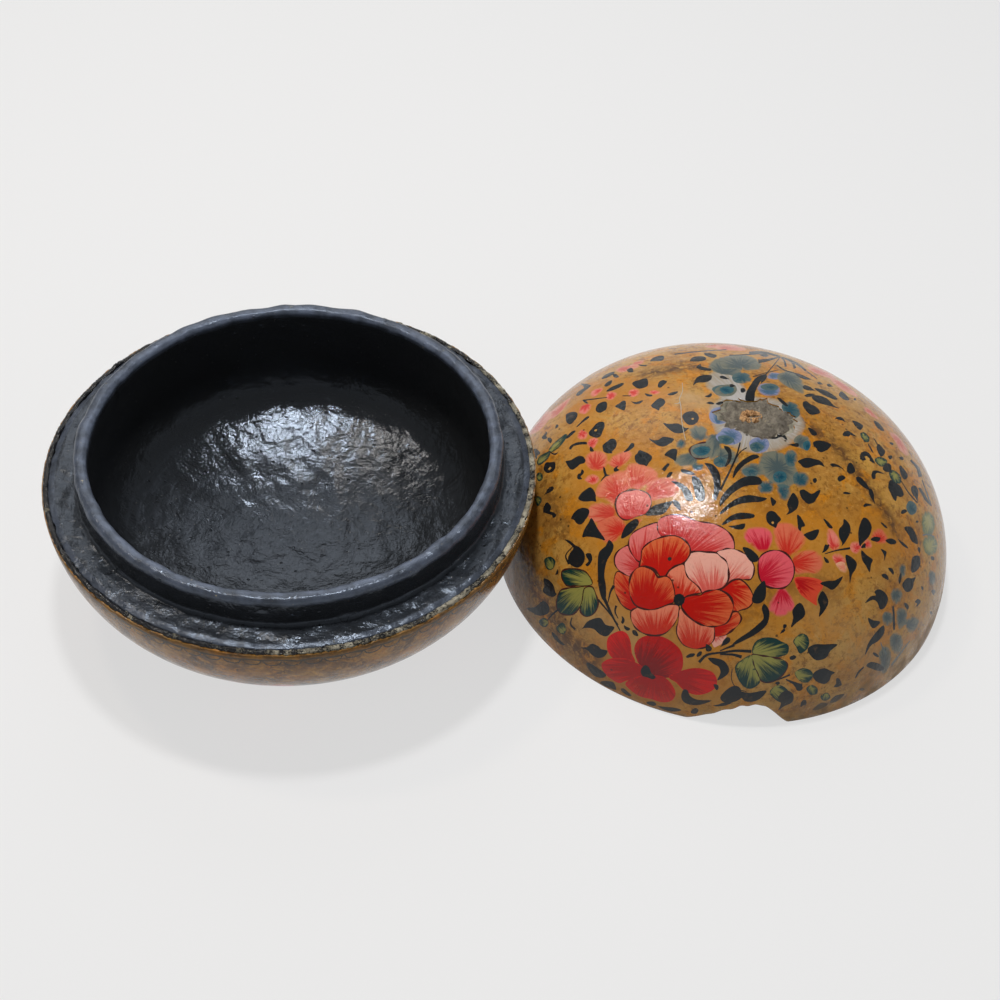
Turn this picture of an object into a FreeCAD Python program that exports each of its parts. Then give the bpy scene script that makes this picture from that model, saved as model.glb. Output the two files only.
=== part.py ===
import FreeCAD, Part
import math
import os

import Sketcher

# Round papier mache box of two halves, shown open: the base stands at the origin and the lid stands beside it
# on its own rim, dome up. Millimetres, +Z up, the origin is the centre of the base's foot, +X points to the lid.

# Driving dimensions
# Each line is a name, a value and what it measures. Lengths are millimetres and directions are degrees.
DIMENSIONS = [
    ("body_radius", 80.0, "outer radius of both halves where they meet"),
    ("ledge_height", 47.2, "height of the base's flat ledge over the foot"),
    ("foot_radius", 26.0, "radius of the flat that the base stands on"),
    ("base_shoulder_share", 0.943, "radius of the base's shoulder, as a share of the ledge height"),
    ("ledge_width", 11.2, "width of the ledge between the neck and the outer edge"),
    ("base_floor", 8.0, "thickness of the pulp in the middle of the base"),
    ("base_hollow_share", 0.66, "radius of the hollow's shoulder, as a share of its depth"),
    ("neck_height", 11.1, "height of the neck over the ledge"),
    ("collar_wall", 3.3, "thickness of the pulp strip that makes the neck"),
    ("collar_seat", 12.0, "depth that the strip is let into the base's mouth"),
    ("collar_round", 1.1, "rounding of both edges of the strip's top"),
    ("paint_coat", 0.5, "thickness of the painted and varnished skin"),
    ("gesso_coat", 1.5, "thickness of the chalk ground under the paint"),
    ("lacquer_coat", 0.6, "thickness of the black lacquer inside"),
    ("lid_height", 61.2, "height of the lid's dome over its rim"),
    ("lid_shoulder_share", 0.9, "radius of the lid's shoulder, as a share of the dome's height"),
    ("lid_crown", 8.0, "thickness of the pulp in the middle of the lid"),
    ("lid_hollow_share", 0.8, "radius of the lid's hollow at its shoulder, as a share of the hollow's height"),
    ("neck_clearance", 0.35, "gap all round between the neck and the lid's mouth when the box is shut"),
    ("mouth_spare", 1.4, "how much deeper the lid's straight mouth is than the neck is high"),
    ("lid_tuck", 10.4, "how far the lid's rim stands in under the base's overhang"),
    ("peg_radius", 3.0, "radius of the wooden peg of the lost knob"),
    ("peg_stub", 0.6, "height of the broken peg over the painted crown"),
    ("filler_radius", 10.0, "radius of the grey paste that bedded the knob"),
    ("filler_rise", 0.3, "height of the paste over the painted crown"),
    ("chip_width", 32.0, "width of the chip in the lid's front rim"),
    ("chip_height", 9.8, "height of the chip on the outside of the rim"),
    ("chip_depth", 8.5, "depth of the chip into the rim's wall"),
    ("chip_direction", -95.5, "direction of the chip from the lid's centre, from +X"),
]

FULL_TURN = 360
BASE_NODES = ["base_shell", "base_collar", "base_lining", "base_gesso", "base_paint"]
LID_NODES = ["lid_shell", "lid_lining", "lid_gesso", "lid_paint", "knob_filler", "knob_peg"]


class Size:
    """A size that keeps its number together with the sheet expression that gives it."""

    def __init__(self, number, text):
        self.number = number
        self.text = text

    def __add__(self, other):
        return Size(self.number + other.number, "(%s + %s)" % (self.text, other.text))

    def __sub__(self, other):
        return Size(self.number - other.number, "(%s - %s)" % (self.text, other.text))

    def __mul__(self, other):
        return Size(self.number * other.number, "(%s * %s)" % (self.text, other.text))

    def __truediv__(self, count):
        return Size(self.number / count, "(%s / %d)" % (self.text, count))


NOTHING = Size(0, "0")


def make_sheet(doc):
    """The spreadsheet of driving dimensions, and each of them as a Size."""
    sheet = doc.addObject("Spreadsheet::Sheet", "Sizes")
    sizes = {}
    for row, (name, value, meaning) in enumerate(DIMENSIONS, start=1):
        sheet.set("A%d" % row, name)
        sheet.set("B%d" % row, str(value))
        sheet.set("C%d" % row, meaning)
        sheet.setAlias("B%d" % row, name)
        sizes[name] = Size(value, "Sizes." + name)
    doc.recompute()
    return sizes


class Section:
    """A closed half section that is turned about the Z axis: x is the distance from the axis, y is the height.

    Corners are named. Each corner and centre starts at worked out numbers, and the constraints bind what is
    given to the sheet and leave the rest to tangency.
    """

    def __init__(self, body, name):
        self.body = body
        self.sketch = body.newObject("Sketcher::SketchObject", name)
        plane = [item for item in body.Origin.OriginFeatures if item.Role == "XZ_Plane"][0]
        self.sketch.AttachmentSupport = [(plane, "")]
        self.sketch.MapMode = "FlatFace"
        self.ends = {}

    def constrain(self, kind, *items, size=None):
        if size is None:
            return self.sketch.addConstraint(Sketcher.Constraint(kind, *items))
        index = self.sketch.addConstraint(Sketcher.Constraint(kind, *items, size.number))
        self.sketch.setExpression("Constraints[%d]" % index, size.text)
        return index

    def join(self, corner, geometry, end, smooth=False):
        """Ties one end of a curve to the curve that already ends in the corner."""
        if corner in self.ends:
            kind = "Tangent" if smooth else "Coincident"
            self.constrain(kind, *self.ends[corner], geometry, end)
        else:
            self.ends[corner] = (geometry, end)

    def line(self, first, second):
        """A straight edge between two corners, each given as (name, x, y)."""
        points = [FreeCAD.Vector(x, y, 0) for _, x, y in (first, second)]
        index = self.sketch.addGeometry(Part.LineSegment(*points), False)
        self.join(first[0], index, 1)
        self.join(second[0], index, 2)
        return index

    def arc(self, centre, first, second, smooth=(), guide=False):
        """An arc that runs counterclockwise about its centre from the first corner to the second."""
        middle = FreeCAD.Vector(centre[0], centre[1], 0)
        angles = [math.atan2(y - centre[1], x - centre[0]) for _, x, y in (first, second)]
        radius = math.hypot(first[1] - centre[0], first[2] - centre[1])
        circle = Part.Circle(middle, FreeCAD.Vector(0, 0, 1), radius)
        index = self.sketch.addGeometry(Part.ArcOfCircle(circle, *angles), guide)
        self.join(first[0], index, 1, first[0] in smooth)
        self.join(second[0], index, 2, second[0] in smooth)
        return index

    def hold(self, corner, x=None, y=None):
        """Gives a corner its distance from the axis, its height or both."""
        self.hold_point(*self.ends[corner], x, y)

    def hold_point(self, geometry, end, x=None, y=None):
        if x is not None:
            self.constrain("DistanceX", -1, 1, geometry, end, size=x)
        if y is not None:
            self.constrain("DistanceY", -1, 1, geometry, end, size=y)

    def hold_pole(self, arc, height):
        """Gives the point where an arc's circle crosses the axis its height, by a guide point."""
        index = self.sketch.addGeometry(Part.Point(FreeCAD.Vector(0, height.number, 0)), True)
        self.constrain("PointOnObject", index, 1, -2)
        self.constrain("PointOnObject", index, 1, arc)
        self.hold_point(index, 1, y=height)

    def on_axis(self, corner):
        self.constrain("PointOnObject", *self.ends[corner], -2)

    def on_ground(self, corner):
        self.constrain("PointOnObject", *self.ends[corner], -1)

    def radius(self, geometry, size):
        self.constrain("Radius", geometry, size=size)

    def turn(self):
        """Turns the section into a solid of revolution."""
        solid = self.body.newObject("PartDesign::Revolution", self.body.Label + "_turned")
        solid.Profile = self.sketch
        solid.ReferenceAxis = (self.sketch, ["V_Axis"])
        solid.Angle = FULL_TURN
        self.sketch.Visibility = False
        return solid


class Dome:
    """A quarter oval of two arcs: a shoulder that leaves the springing line upright, and a crown over the axis.

    way is 1 for a dome that rises from its springing line and -1 for a bowl that hangs from it.
    """

    def __init__(self, radius, springing, rise, shoulder, way):
        self.radius = radius
        self.springing = springing
        self.shoulder = shoulder
        self.way = way
        wide = radius - shoulder
        self.crown = (wide**2 + rise**2 - shoulder**2) / (rise - shoulder) / 2
        self.shoulder_centre = (wide, springing)
        self.crown_centre = (0, springing + way * (rise - self.crown))

    def spring(self, inset):
        return (self.radius - inset, self.springing)

    def joint(self, inset):
        """The point where the shoulder meets the crown, on the curve that lies inset from the outline."""
        run = self.shoulder_centre[0]
        climb = self.shoulder_centre[1] - self.crown_centre[1]
        length = math.hypot(run, climb)
        share = (self.shoulder - inset) / length
        return (run + run * share, self.springing + climb * share)

    def pole(self, inset):
        return (0, self.crown_centre[1] + self.way * (self.crown - inset))

    def at_radius(self, inset, x):
        """The point of the crown at a distance x from the axis."""
        return (x, self.crown_centre[1] + self.way * math.sqrt((self.crown - inset) ** 2 - x**2))


def bowl_over_foot(radius, springing, foot, shoulder):
    """The outer bowl: its crown arc is cut flat by the ground in a foot of the given radius."""
    wide = radius - shoulder
    rest = wide**2 + springing**2 - foot**2 - shoulder**2
    square = 4 * (springing**2 - shoulder**2)
    middle = -4 * rest * springing
    last = rest**2 - 4 * shoulder**2 * foot**2
    centre = (-middle + math.sqrt(middle**2 - 4 * square * last)) / (2 * square)
    crown = math.hypot(foot, centre)
    return Dome(radius, springing, springing + crown - centre, shoulder, -1)


def named(name, point):
    return (name, point[0], point[1])


def place_for(doc, name, offset=None):
    body = doc.addObject("PartDesign::Body", name)
    body.Label = name
    if offset is not None:
        body.setExpression("Placement.Base.x", offset.text)
    return body


# The base

def base_outline(sizes):
    shoulder = sizes["ledge_height"] * sizes["base_shoulder_share"]
    dome = bowl_over_foot(
        sizes["body_radius"].number, sizes["ledge_height"].number, sizes["foot_radius"].number, shoulder.number
    )
    return dome, shoulder


def guide_base_outline(section, sizes):
    """Draws the base's painted outline as construction arcs and returns them."""
    dome, shoulder = base_outline(sizes)
    crown = section.arc(
        dome.crown_centre,
        named("guide foot", dome.at_radius(0, sizes["foot_radius"].number)),
        named("guide joint", dome.joint(0)),
        guide=True,
    )
    bend = section.arc(
        dome.shoulder_centre,
        named("guide joint", dome.joint(0)),
        named("guide rim", dome.spring(0)),
        smooth=("guide joint",),
        guide=True,
    )
    section.hold("guide rim", sizes["body_radius"], sizes["ledge_height"])
    section.hold_point(bend, 3, y=sizes["ledge_height"])
    section.radius(bend, shoulder)
    section.constrain("PointOnObject", crown, 3, -2)
    section.hold("guide foot", x=sizes["foot_radius"])
    section.on_ground("guide foot")
    return dome, shoulder, crown, bend


def parallel_base_curve(section, guide, sizes, inset, prefix):
    """Draws the curve that lies inset from the base's outline, from the foot to the ledge."""
    dome, shoulder, guide_crown, guide_bend = guide
    foot = named(prefix + " foot", dome.at_radius(inset.number, sizes["foot_radius"].number))
    joint = named(prefix + " joint", dome.joint(inset.number))
    rim = named(prefix + " rim", dome.spring(inset.number))
    crown = section.arc(dome.crown_centre, foot, joint)
    bend = section.arc(dome.shoulder_centre, joint, rim, smooth=(joint[0],))
    section.constrain("Coincident", crown, 3, guide_crown, 3)
    section.constrain("Coincident", bend, 3, guide_bend, 3)
    section.radius(bend, shoulder - inset)
    section.hold(foot[0], x=sizes["foot_radius"])
    section.hold(rim[0], y=sizes["ledge_height"])
    return foot, rim


def base_coat(doc, sizes, name, outer_inset, inner_inset):
    """One coat on the outside of the base, from the bare foot's edge up to the ledge."""
    body = place_for(doc, name)
    section = Section(body, name + "_section")
    guide = guide_base_outline(section, sizes)
    outer_foot, outer_rim = parallel_base_curve(section, guide, sizes, outer_inset, "outer")
    inner_foot, inner_rim = parallel_base_curve(section, guide, sizes, inner_inset, "inner")
    section.line(inner_foot, outer_foot)
    section.line(outer_rim, inner_rim)
    section.turn()
    return body


def base_hollow(sizes, inset):
    """The bowl's hollow in the pulp: it springs from the foot of the collar's seat."""
    radius = collar_inside(sizes)
    springing = sizes["ledge_height"] - sizes["collar_seat"]
    rise = springing - sizes["base_floor"]
    shoulder = rise * sizes["base_hollow_share"]
    dome = Dome(radius.number, springing.number, rise.number, shoulder.number, -1)
    return dome, radius - inset, springing, shoulder - inset, sizes["base_floor"] + inset


def draw_hollow(section, hollow, inset, prefix):
    """Draws the hollow's curve, inset from the pulp, from the springing line down to the axis."""
    dome, radius, springing, shoulder, floor = hollow
    pole = named(prefix + " pole", dome.pole(inset.number))
    joint = named(prefix + " joint", dome.joint(inset.number))
    spring = named(prefix + " spring", dome.spring(inset.number))
    crown = section.arc(dome.crown_centre, pole, joint)
    bend = section.arc(dome.shoulder_centre, joint, spring, smooth=(joint[0],))
    section.hold_point(bend, 3, y=springing)
    section.radius(bend, shoulder)
    section.constrain("PointOnObject", crown, 3, -2)
    section.hold(spring[0], radius, springing)
    section.on_axis(pole[0])
    section.hold(pole[0], y=floor)
    return pole, spring


def neck_outside(sizes):
    return sizes["body_radius"] - sizes["ledge_width"]


def collar_outside(sizes):
    return neck_outside(sizes) - sizes["lacquer_coat"]


def collar_inside(sizes):
    return collar_outside(sizes) - sizes["collar_wall"]


def collar_top(sizes):
    return sizes["ledge_height"] + sizes["neck_height"] - sizes["lacquer_coat"]


def make_base_shell(doc, sizes):
    """The pulp bowl, with a seat turned into its mouth for the collar."""
    coats = sizes["paint_coat"] + sizes["gesso_coat"]
    body = place_for(doc, "base_shell")
    section = Section(body, "base_shell_section")
    guide = guide_base_outline(section, sizes)
    foot, rim = parallel_base_curve(section, guide, sizes, coats, "outer")
    hollow = base_hollow(sizes, NOTHING)
    pole, spring = draw_hollow(section, hollow, NOTHING, "hollow")
    seat_radius = collar_outside(sizes)
    seat_top = ("seat top", seat_radius.number, sizes["ledge_height"].number)
    seat_corner = ("seat corner", seat_radius.number, hollow[2].number)
    section.line(rim, seat_top)
    section.line(seat_top, seat_corner)
    section.line(seat_corner, spring)
    section.hold("seat top", seat_radius, sizes["ledge_height"])
    section.hold("seat corner", seat_radius, hollow[2])
    ground = ("ground", 0, 0)
    foot_edge = ("foot edge", sizes["foot_radius"].number, 0)
    section.line(pole, ground)
    section.line(ground, foot_edge)
    section.line(foot_edge, foot)
    section.on_axis("ground")
    section.on_ground("ground")
    section.hold("foot edge", x=sizes["foot_radius"])
    section.on_ground("foot edge")
    section.turn()
    return body


def draw_collar_top(section, sizes, inset, prefix, base):
    """Draws the collar's two upright faces and rounded top, from its outer base over to its inner base.

    inset is how far the lacquer stands out from the strip, and base is the height where the faces end.
    """
    outside = collar_outside(sizes) + inset
    inside = collar_inside(sizes) - inset
    top = collar_top(sizes) + inset
    bend = sizes["collar_round"] + inset
    centre_height = collar_top(sizes) - sizes["collar_round"]
    outer_centre = (outside.number - bend.number, centre_height.number)
    inner_centre = (inside.number + bend.number, centre_height.number)
    outer_side = (prefix + " outer side", outside.number, centre_height.number)
    outer_crest = (prefix + " outer crest", outer_centre[0], top.number)
    inner_crest = (prefix + " inner crest", inner_centre[0], top.number)
    inner_side = (prefix + " inner side", inside.number, centre_height.number)
    outer_base = (prefix + " outer base", outside.number, base[0].number)
    inner_base = (prefix + " inner base", inside.number, base[1].number)
    section.line(outer_base, outer_side)
    outer_round = section.arc(outer_centre, outer_side, outer_crest)
    section.line(outer_crest, inner_crest)
    inner_round = section.arc(inner_centre, inner_crest, inner_side)
    section.line(inner_side, inner_base)
    section.hold(outer_side[0], outside, centre_height)
    section.hold(inner_side[0], inside, centre_height)
    section.hold(outer_crest[0], outside - bend, top)
    section.hold(inner_crest[0], inside + bend, top)
    section.radius(outer_round, bend)
    section.radius(inner_round, bend)
    section.hold(outer_base[0], outside, base[0])
    return outer_base, inner_base, inside


def make_base_collar(doc, sizes):
    """The strip of pulp that is glued into the mouth and stands up as the neck."""
    body = place_for(doc, "base_collar")
    section = Section(body, "base_collar_section")
    seat = sizes["ledge_height"] - sizes["collar_seat"]
    outer_base, inner_base, inside = draw_collar_top(section, sizes, NOTHING, "strip", (seat, seat))
    section.hold(inner_base[0], inside, seat)
    section.line(inner_base, outer_base)
    section.turn()
    return body


def make_base_lining(doc, sizes):
    """The black lacquer: over the hollow, up the collar, over its top, down to the ledge and out along it."""
    coat = sizes["lacquer_coat"]
    body = place_for(doc, "base_lining")
    section = Section(body, "base_lining_section")
    under_pole, under_spring = draw_hollow(section, base_hollow(sizes, NOTHING), NOTHING, "under")
    hollow = base_hollow(sizes, coat)
    over_pole, over_spring = draw_hollow(section, hollow, coat, "over")
    section.line(over_pole, under_pole)
    ledge = sizes["ledge_height"]
    springing = hollow[2]
    under_outer, under_inner, _ = draw_collar_top(section, sizes, NOTHING, "under", (ledge, springing))
    over_outer, over_inner, _ = draw_collar_top(section, sizes, coat, "over", (ledge + coat, springing))
    section.constrain("Coincident", *section.ends[under_inner[0]], *section.ends[under_spring[0]])
    section.constrain("Coincident", *section.ends[over_inner[0]], *section.ends[over_spring[0]])
    edge = sizes["body_radius"] - sizes["paint_coat"] - sizes["gesso_coat"]
    low_edge = ("low edge", edge.number, ledge.number)
    high_edge = ("high edge", edge.number, (ledge + coat).number)
    section.line(under_outer, low_edge)
    section.line(low_edge, high_edge)
    section.line(high_edge, over_outer)
    section.hold("low edge", edge, ledge)
    section.hold("high edge", edge, ledge + coat)
    section.turn()
    return body


# The lid

def lid_offset(sizes):
    """How far the lid's centre stands from the base's."""
    return sizes["body_radius"] + sizes["body_radius"] - sizes["lid_tuck"]


def lid_outline(sizes):
    shoulder = sizes["lid_height"] * sizes["lid_shoulder_share"]
    dome = Dome(sizes["body_radius"].number, 0, sizes["lid_height"].number, shoulder.number, 1)
    return dome, shoulder


def draw_lid_curve(section, sizes, inset, prefix, reach):
    """Draws the curve that lies inset from the lid's outline, from the rim up to reach from the axis."""
    dome, shoulder = lid_outline(sizes)
    rim = named(prefix + " rim", dome.spring(inset.number))
    joint = named(prefix + " joint", dome.joint(inset.number))
    crest = named(prefix + " crest", dome.at_radius(inset.number, reach.number))
    bend = section.arc(dome.shoulder_centre, rim, joint)
    crown = section.arc(dome.crown_centre, joint, crest, smooth=(joint[0],))
    section.constrain("PointOnObject", bend, 3, -1)
    section.radius(bend, shoulder - inset)
    section.hold(rim[0], x=sizes["body_radius"] - inset)
    section.on_ground(rim[0])
    section.constrain("PointOnObject", crown, 3, -2)
    section.hold_pole(crown, sizes["lid_height"] - inset)
    section.hold(crest[0], x=reach)
    return rim, crest


def lid_coat(doc, sizes, name, outer_inset, inner_inset):
    """One coat on the outside of the lid, open at the crown for the knob's paste."""
    body = place_for(doc, name, lid_offset(sizes))
    section = Section(body, name + "_section")
    reach = sizes["filler_radius"]
    outer_rim, outer_crest = draw_lid_curve(section, sizes, outer_inset, "outer", reach)
    inner_rim, inner_crest = draw_lid_curve(section, sizes, inner_inset, "inner", reach)
    section.line(inner_rim, outer_rim)
    section.line(outer_crest, inner_crest)
    section.turn()
    cut_rim_chip(body, sizes)
    return body


def lid_hollow(sizes, inset):
    """The lid's hollow in the pulp: an oval that springs from the top of the straight mouth."""
    radius = mouth_radius(sizes) + sizes["lacquer_coat"]
    springing = sizes["neck_height"] + sizes["mouth_spare"]
    rise = sizes["lid_height"] - sizes["lid_crown"] - springing
    shoulder = rise * sizes["lid_hollow_share"]
    dome = Dome(radius.number, springing.number, rise.number, shoulder.number, 1)
    top = springing + rise
    return dome, radius - inset, springing, shoulder - inset, top - inset


def mouth_radius(sizes):
    return neck_outside(sizes) + sizes["neck_clearance"]


def draw_lid_hollow(section, hollow, inset, prefix, reach=None):
    """Draws the lid's inside, from the rim up the straight mouth and over to the axis, or to reach from it."""
    dome, radius, springing, shoulder, top = hollow
    mouth = (prefix + " mouth", radius.number, 0)
    spring = named(prefix + " spring", dome.spring(inset.number))
    joint = named(prefix + " joint", dome.joint(inset.number))
    end = dome.pole(inset.number) if reach is None else dome.at_radius(inset.number, reach.number)
    crest = named(prefix + " crest", end)
    section.line(mouth, spring)
    bend = section.arc(dome.shoulder_centre, spring, joint)
    crown = section.arc(dome.crown_centre, joint, crest, smooth=(joint[0],))
    section.on_ground(mouth[0])
    section.hold(mouth[0], x=radius)
    section.hold(spring[0], radius, springing)
    section.hold_point(bend, 3, y=springing)
    section.radius(bend, shoulder)
    section.constrain("PointOnObject", crown, 3, -2)
    if reach is None:
        section.on_axis(crest[0])
        section.hold(crest[0], y=top)
    else:
        section.hold_pole(crown, top)
        section.hold(crest[0], x=reach)
    return mouth, crest


def make_lid_shell(doc, sizes):
    """The pulp dome, bored through at the crown for the knob's peg."""
    coats = sizes["paint_coat"] + sizes["gesso_coat"]
    body = place_for(doc, "lid_shell", lid_offset(sizes))
    section = Section(body, "lid_shell_section")
    reach = sizes["peg_radius"]
    rim, outer_crest = draw_lid_curve(section, sizes, coats, "outer", reach)
    mouth, inner_crest = draw_lid_hollow(section, lid_hollow(sizes, NOTHING), NOTHING, "inner", reach)
    section.line(mouth, rim)
    section.line(outer_crest, inner_crest)
    section.turn()
    cut_rim_chip(body, sizes)
    return body


def make_lid_lining(doc, sizes):
    """The black lacquer inside the lid."""
    coat = sizes["lacquer_coat"]
    body = place_for(doc, "lid_lining", lid_offset(sizes))
    section = Section(body, "lid_lining_section")
    outer_mouth, outer_crest = draw_lid_hollow(section, lid_hollow(sizes, NOTHING), NOTHING, "outer")
    inner_mouth, inner_crest = draw_lid_hollow(section, lid_hollow(sizes, coat), coat, "inner")
    section.line(inner_mouth, outer_mouth)
    section.line(outer_crest, inner_crest)
    section.turn()
    return body


def cut_rim_chip(body, sizes):
    """Takes the chip out of the rim: an ellipsoid about a point on the rim's outer edge."""
    chip = body.newObject("PartDesign::SubtractiveEllipsoid", body.Label + "_chip")
    chip.setExpression("Radius1", sizes["chip_height"].text)
    chip.setExpression("Radius2", sizes["chip_depth"].text)
    chip.setExpression("Radius3", (sizes["chip_width"] / 2).text)
    chip.Placement = FreeCAD.Placement(
        FreeCAD.Vector(0, 0, 0), FreeCAD.Rotation(FreeCAD.Vector(0, 0, 1), sizes["chip_direction"].number)
    )
    edge = sizes["body_radius"].text
    turn = "(%s * 1 deg)" % sizes["chip_direction"].text
    chip.setExpression("Placement.Base.x", "%s * cos%s" % (edge, turn))
    chip.setExpression("Placement.Base.y", "%s * sin%s" % (edge, turn))


# What is left of the knob

def draw_crown_arc(section, sizes, inset, prefix, first_reach, second_reach):
    """Draws a stretch of the arc that lies inset from the lid's crown, from far out inwards."""
    dome, _ = lid_outline(sizes)
    far = named(prefix + " far", dome.at_radius(inset.number, first_reach.number))
    near = named(prefix + " near", dome.at_radius(inset.number, second_reach.number))
    arc = section.arc(dome.crown_centre, far, near)
    section.hold(far[0], x=first_reach)
    section.hold(near[0], x=second_reach)
    section.hold_pole(arc, sizes["lid_height"] - inset)
    return far, near, arc


def hold_crown_centre(section, sizes, arc):
    """Ties an arc's centre to the lid's outline, which is drawn as guide arcs."""
    dome, shoulder = lid_outline(sizes)
    bend = section.arc(
        dome.shoulder_centre, named("guide rim", dome.spring(0)), named("guide joint", dome.joint(0)), guide=True
    )
    crown = section.arc(
        dome.crown_centre,
        named("guide joint", dome.joint(0)),
        named("guide pole", dome.pole(0)),
        smooth=("guide joint",),
        guide=True,
    )
    section.constrain("PointOnObject", bend, 3, -1)
    section.radius(bend, shoulder)
    section.hold("guide rim", x=sizes["body_radius"])
    section.on_ground("guide rim")
    section.constrain("PointOnObject", crown, 3, -2)
    section.on_axis("guide pole")
    section.hold("guide pole", y=sizes["lid_height"])
    section.constrain("Coincident", arc, 3, crown, 3)


def make_knob_filler(doc, sizes):
    """The grey paste that bedded the knob: a ring in the crown's opening, round the peg."""
    body = place_for(doc, "knob_filler", lid_offset(sizes))
    section = Section(body, "knob_filler_section")
    coats = sizes["paint_coat"] + sizes["gesso_coat"]
    rise = NOTHING - sizes["filler_rise"]
    far, near = sizes["filler_radius"], sizes["peg_radius"]
    low_far, low_near, low = draw_crown_arc(section, sizes, coats, "low", far, near)
    high_far, high_near, high = draw_crown_arc(section, sizes, rise, "high", far, near)
    hold_crown_centre(section, sizes, low)
    section.constrain("Coincident", high, 3, low, 3)
    section.line(low_far, high_far)
    section.line(high_near, low_near)
    section.turn()
    return body


def make_knob_peg(doc, sizes):
    """The wooden peg, broken off at the crown: its lower end is flush with the pulp's inside."""
    body = place_for(doc, "knob_peg", lid_offset(sizes))
    section = Section(body, "knob_peg_section")
    dome, _, springing, shoulder, top = lid_hollow(sizes, NOTHING)
    radius = sizes["peg_radius"]
    break_height = sizes["lid_height"] + sizes["peg_stub"]
    side = named("low side", dome.at_radius(0, radius.number))
    pole = named("low pole", dome.pole(0))
    break_side = ("break side", radius.number, break_height.number)
    break_middle = ("break middle", 0, break_height.number)
    end = section.arc(dome.crown_centre, side, pole)
    guide_bend = section.arc(
        dome.shoulder_centre, named("guide spring", dome.spring(0)), named("guide joint", dome.joint(0)), guide=True
    )
    guide_crown = section.arc(
        dome.crown_centre,
        named("guide joint", dome.joint(0)),
        named("guide side", dome.at_radius(0, radius.number)),
        smooth=("guide joint",),
        guide=True,
    )
    section.hold("guide spring", mouth_radius(sizes) + sizes["lacquer_coat"], springing)
    section.hold_point(guide_bend, 3, y=springing)
    section.radius(guide_bend, shoulder)
    section.constrain("PointOnObject", guide_crown, 3, -2)
    section.constrain("Coincident", guide_crown, 2, end, 1)
    section.constrain("Coincident", guide_crown, 3, end, 3)
    section.hold("low side", x=radius)
    section.on_axis("low pole")
    section.hold("low pole", y=top)
    section.line(pole, break_middle)
    section.line(break_middle, break_side)
    section.line(break_side, side)
    section.on_axis("break middle")
    section.hold("break middle", y=break_height)
    section.hold("break side", radius, break_height)
    section.turn()
    return body


def make_box(doc, sizes):
    paint = sizes["paint_coat"]
    coats = sizes["paint_coat"] + sizes["gesso_coat"]
    make_base_shell(doc, sizes)
    make_base_collar(doc, sizes)
    make_base_lining(doc, sizes)
    base_coat(doc, sizes, "base_gesso", paint, coats)
    base_coat(doc, sizes, "base_paint", NOTHING, paint)
    make_lid_shell(doc, sizes)
    make_lid_lining(doc, sizes)
    lid_coat(doc, sizes, "lid_gesso", paint, coats)
    lid_coat(doc, sizes, "lid_paint", NOTHING, paint)
    make_knob_filler(doc, sizes)
    make_knob_peg(doc, sizes)


def check(doc):
    """Stops the script if any object failed or any sub-part has no sound shape."""
    for item in doc.Objects:
        if "Invalid" in item.State or "Error" in item.State:
            raise RuntimeError("%s failed: %s" % (item.Label, item.State))
    for name in BASE_NODES + LID_NODES:
        shape = doc.getObject(name).Shape
        if shape.isNull() or not shape.isValid() or len(shape.Solids) != 1:
            raise RuntimeError("%s has no sound solid" % name)


def main():
    doc = FreeCAD.newDocument("papier_mache_box")
    sizes = make_sheet(doc)
    make_box(doc, sizes)
    doc.recompute()
    check(doc)
    os.makedirs("parts", exist_ok=True)
    for name in BASE_NODES + LID_NODES:
        shape = doc.getObject(name).Shape
        shape.exportStep("parts/%s.step" % name)
        box = shape.BoundBox
        print(
            "%-12s volume %9.1f  x %7.2f %7.2f  z %6.2f %6.2f"
            % (name, shape.Volume, box.XMin, box.XMax, box.ZMin, box.ZMax)
        )


main()
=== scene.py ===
import bpy
import math
import numpy as np
from mathutils import Matrix, Vector, geometry, kdtree


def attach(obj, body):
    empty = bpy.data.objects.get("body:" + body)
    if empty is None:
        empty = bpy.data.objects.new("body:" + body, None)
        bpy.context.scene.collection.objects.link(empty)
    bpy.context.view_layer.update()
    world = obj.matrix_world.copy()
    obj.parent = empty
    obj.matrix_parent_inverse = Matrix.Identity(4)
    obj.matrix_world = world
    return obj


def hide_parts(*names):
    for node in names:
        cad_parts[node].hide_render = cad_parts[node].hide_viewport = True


# The box is turned work in two halves. Lengths here are millimetres, as in the solids, until a mesh is made.
# The painted ornament is given by places in the photograph's frame, in tenths of a pixel of a picture 1000
# wide. Each place is sent along its line of sight onto the lid's dome, and kept as a place on the dome's map:
# the direction from the pole, and the run from it along the surface.

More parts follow.
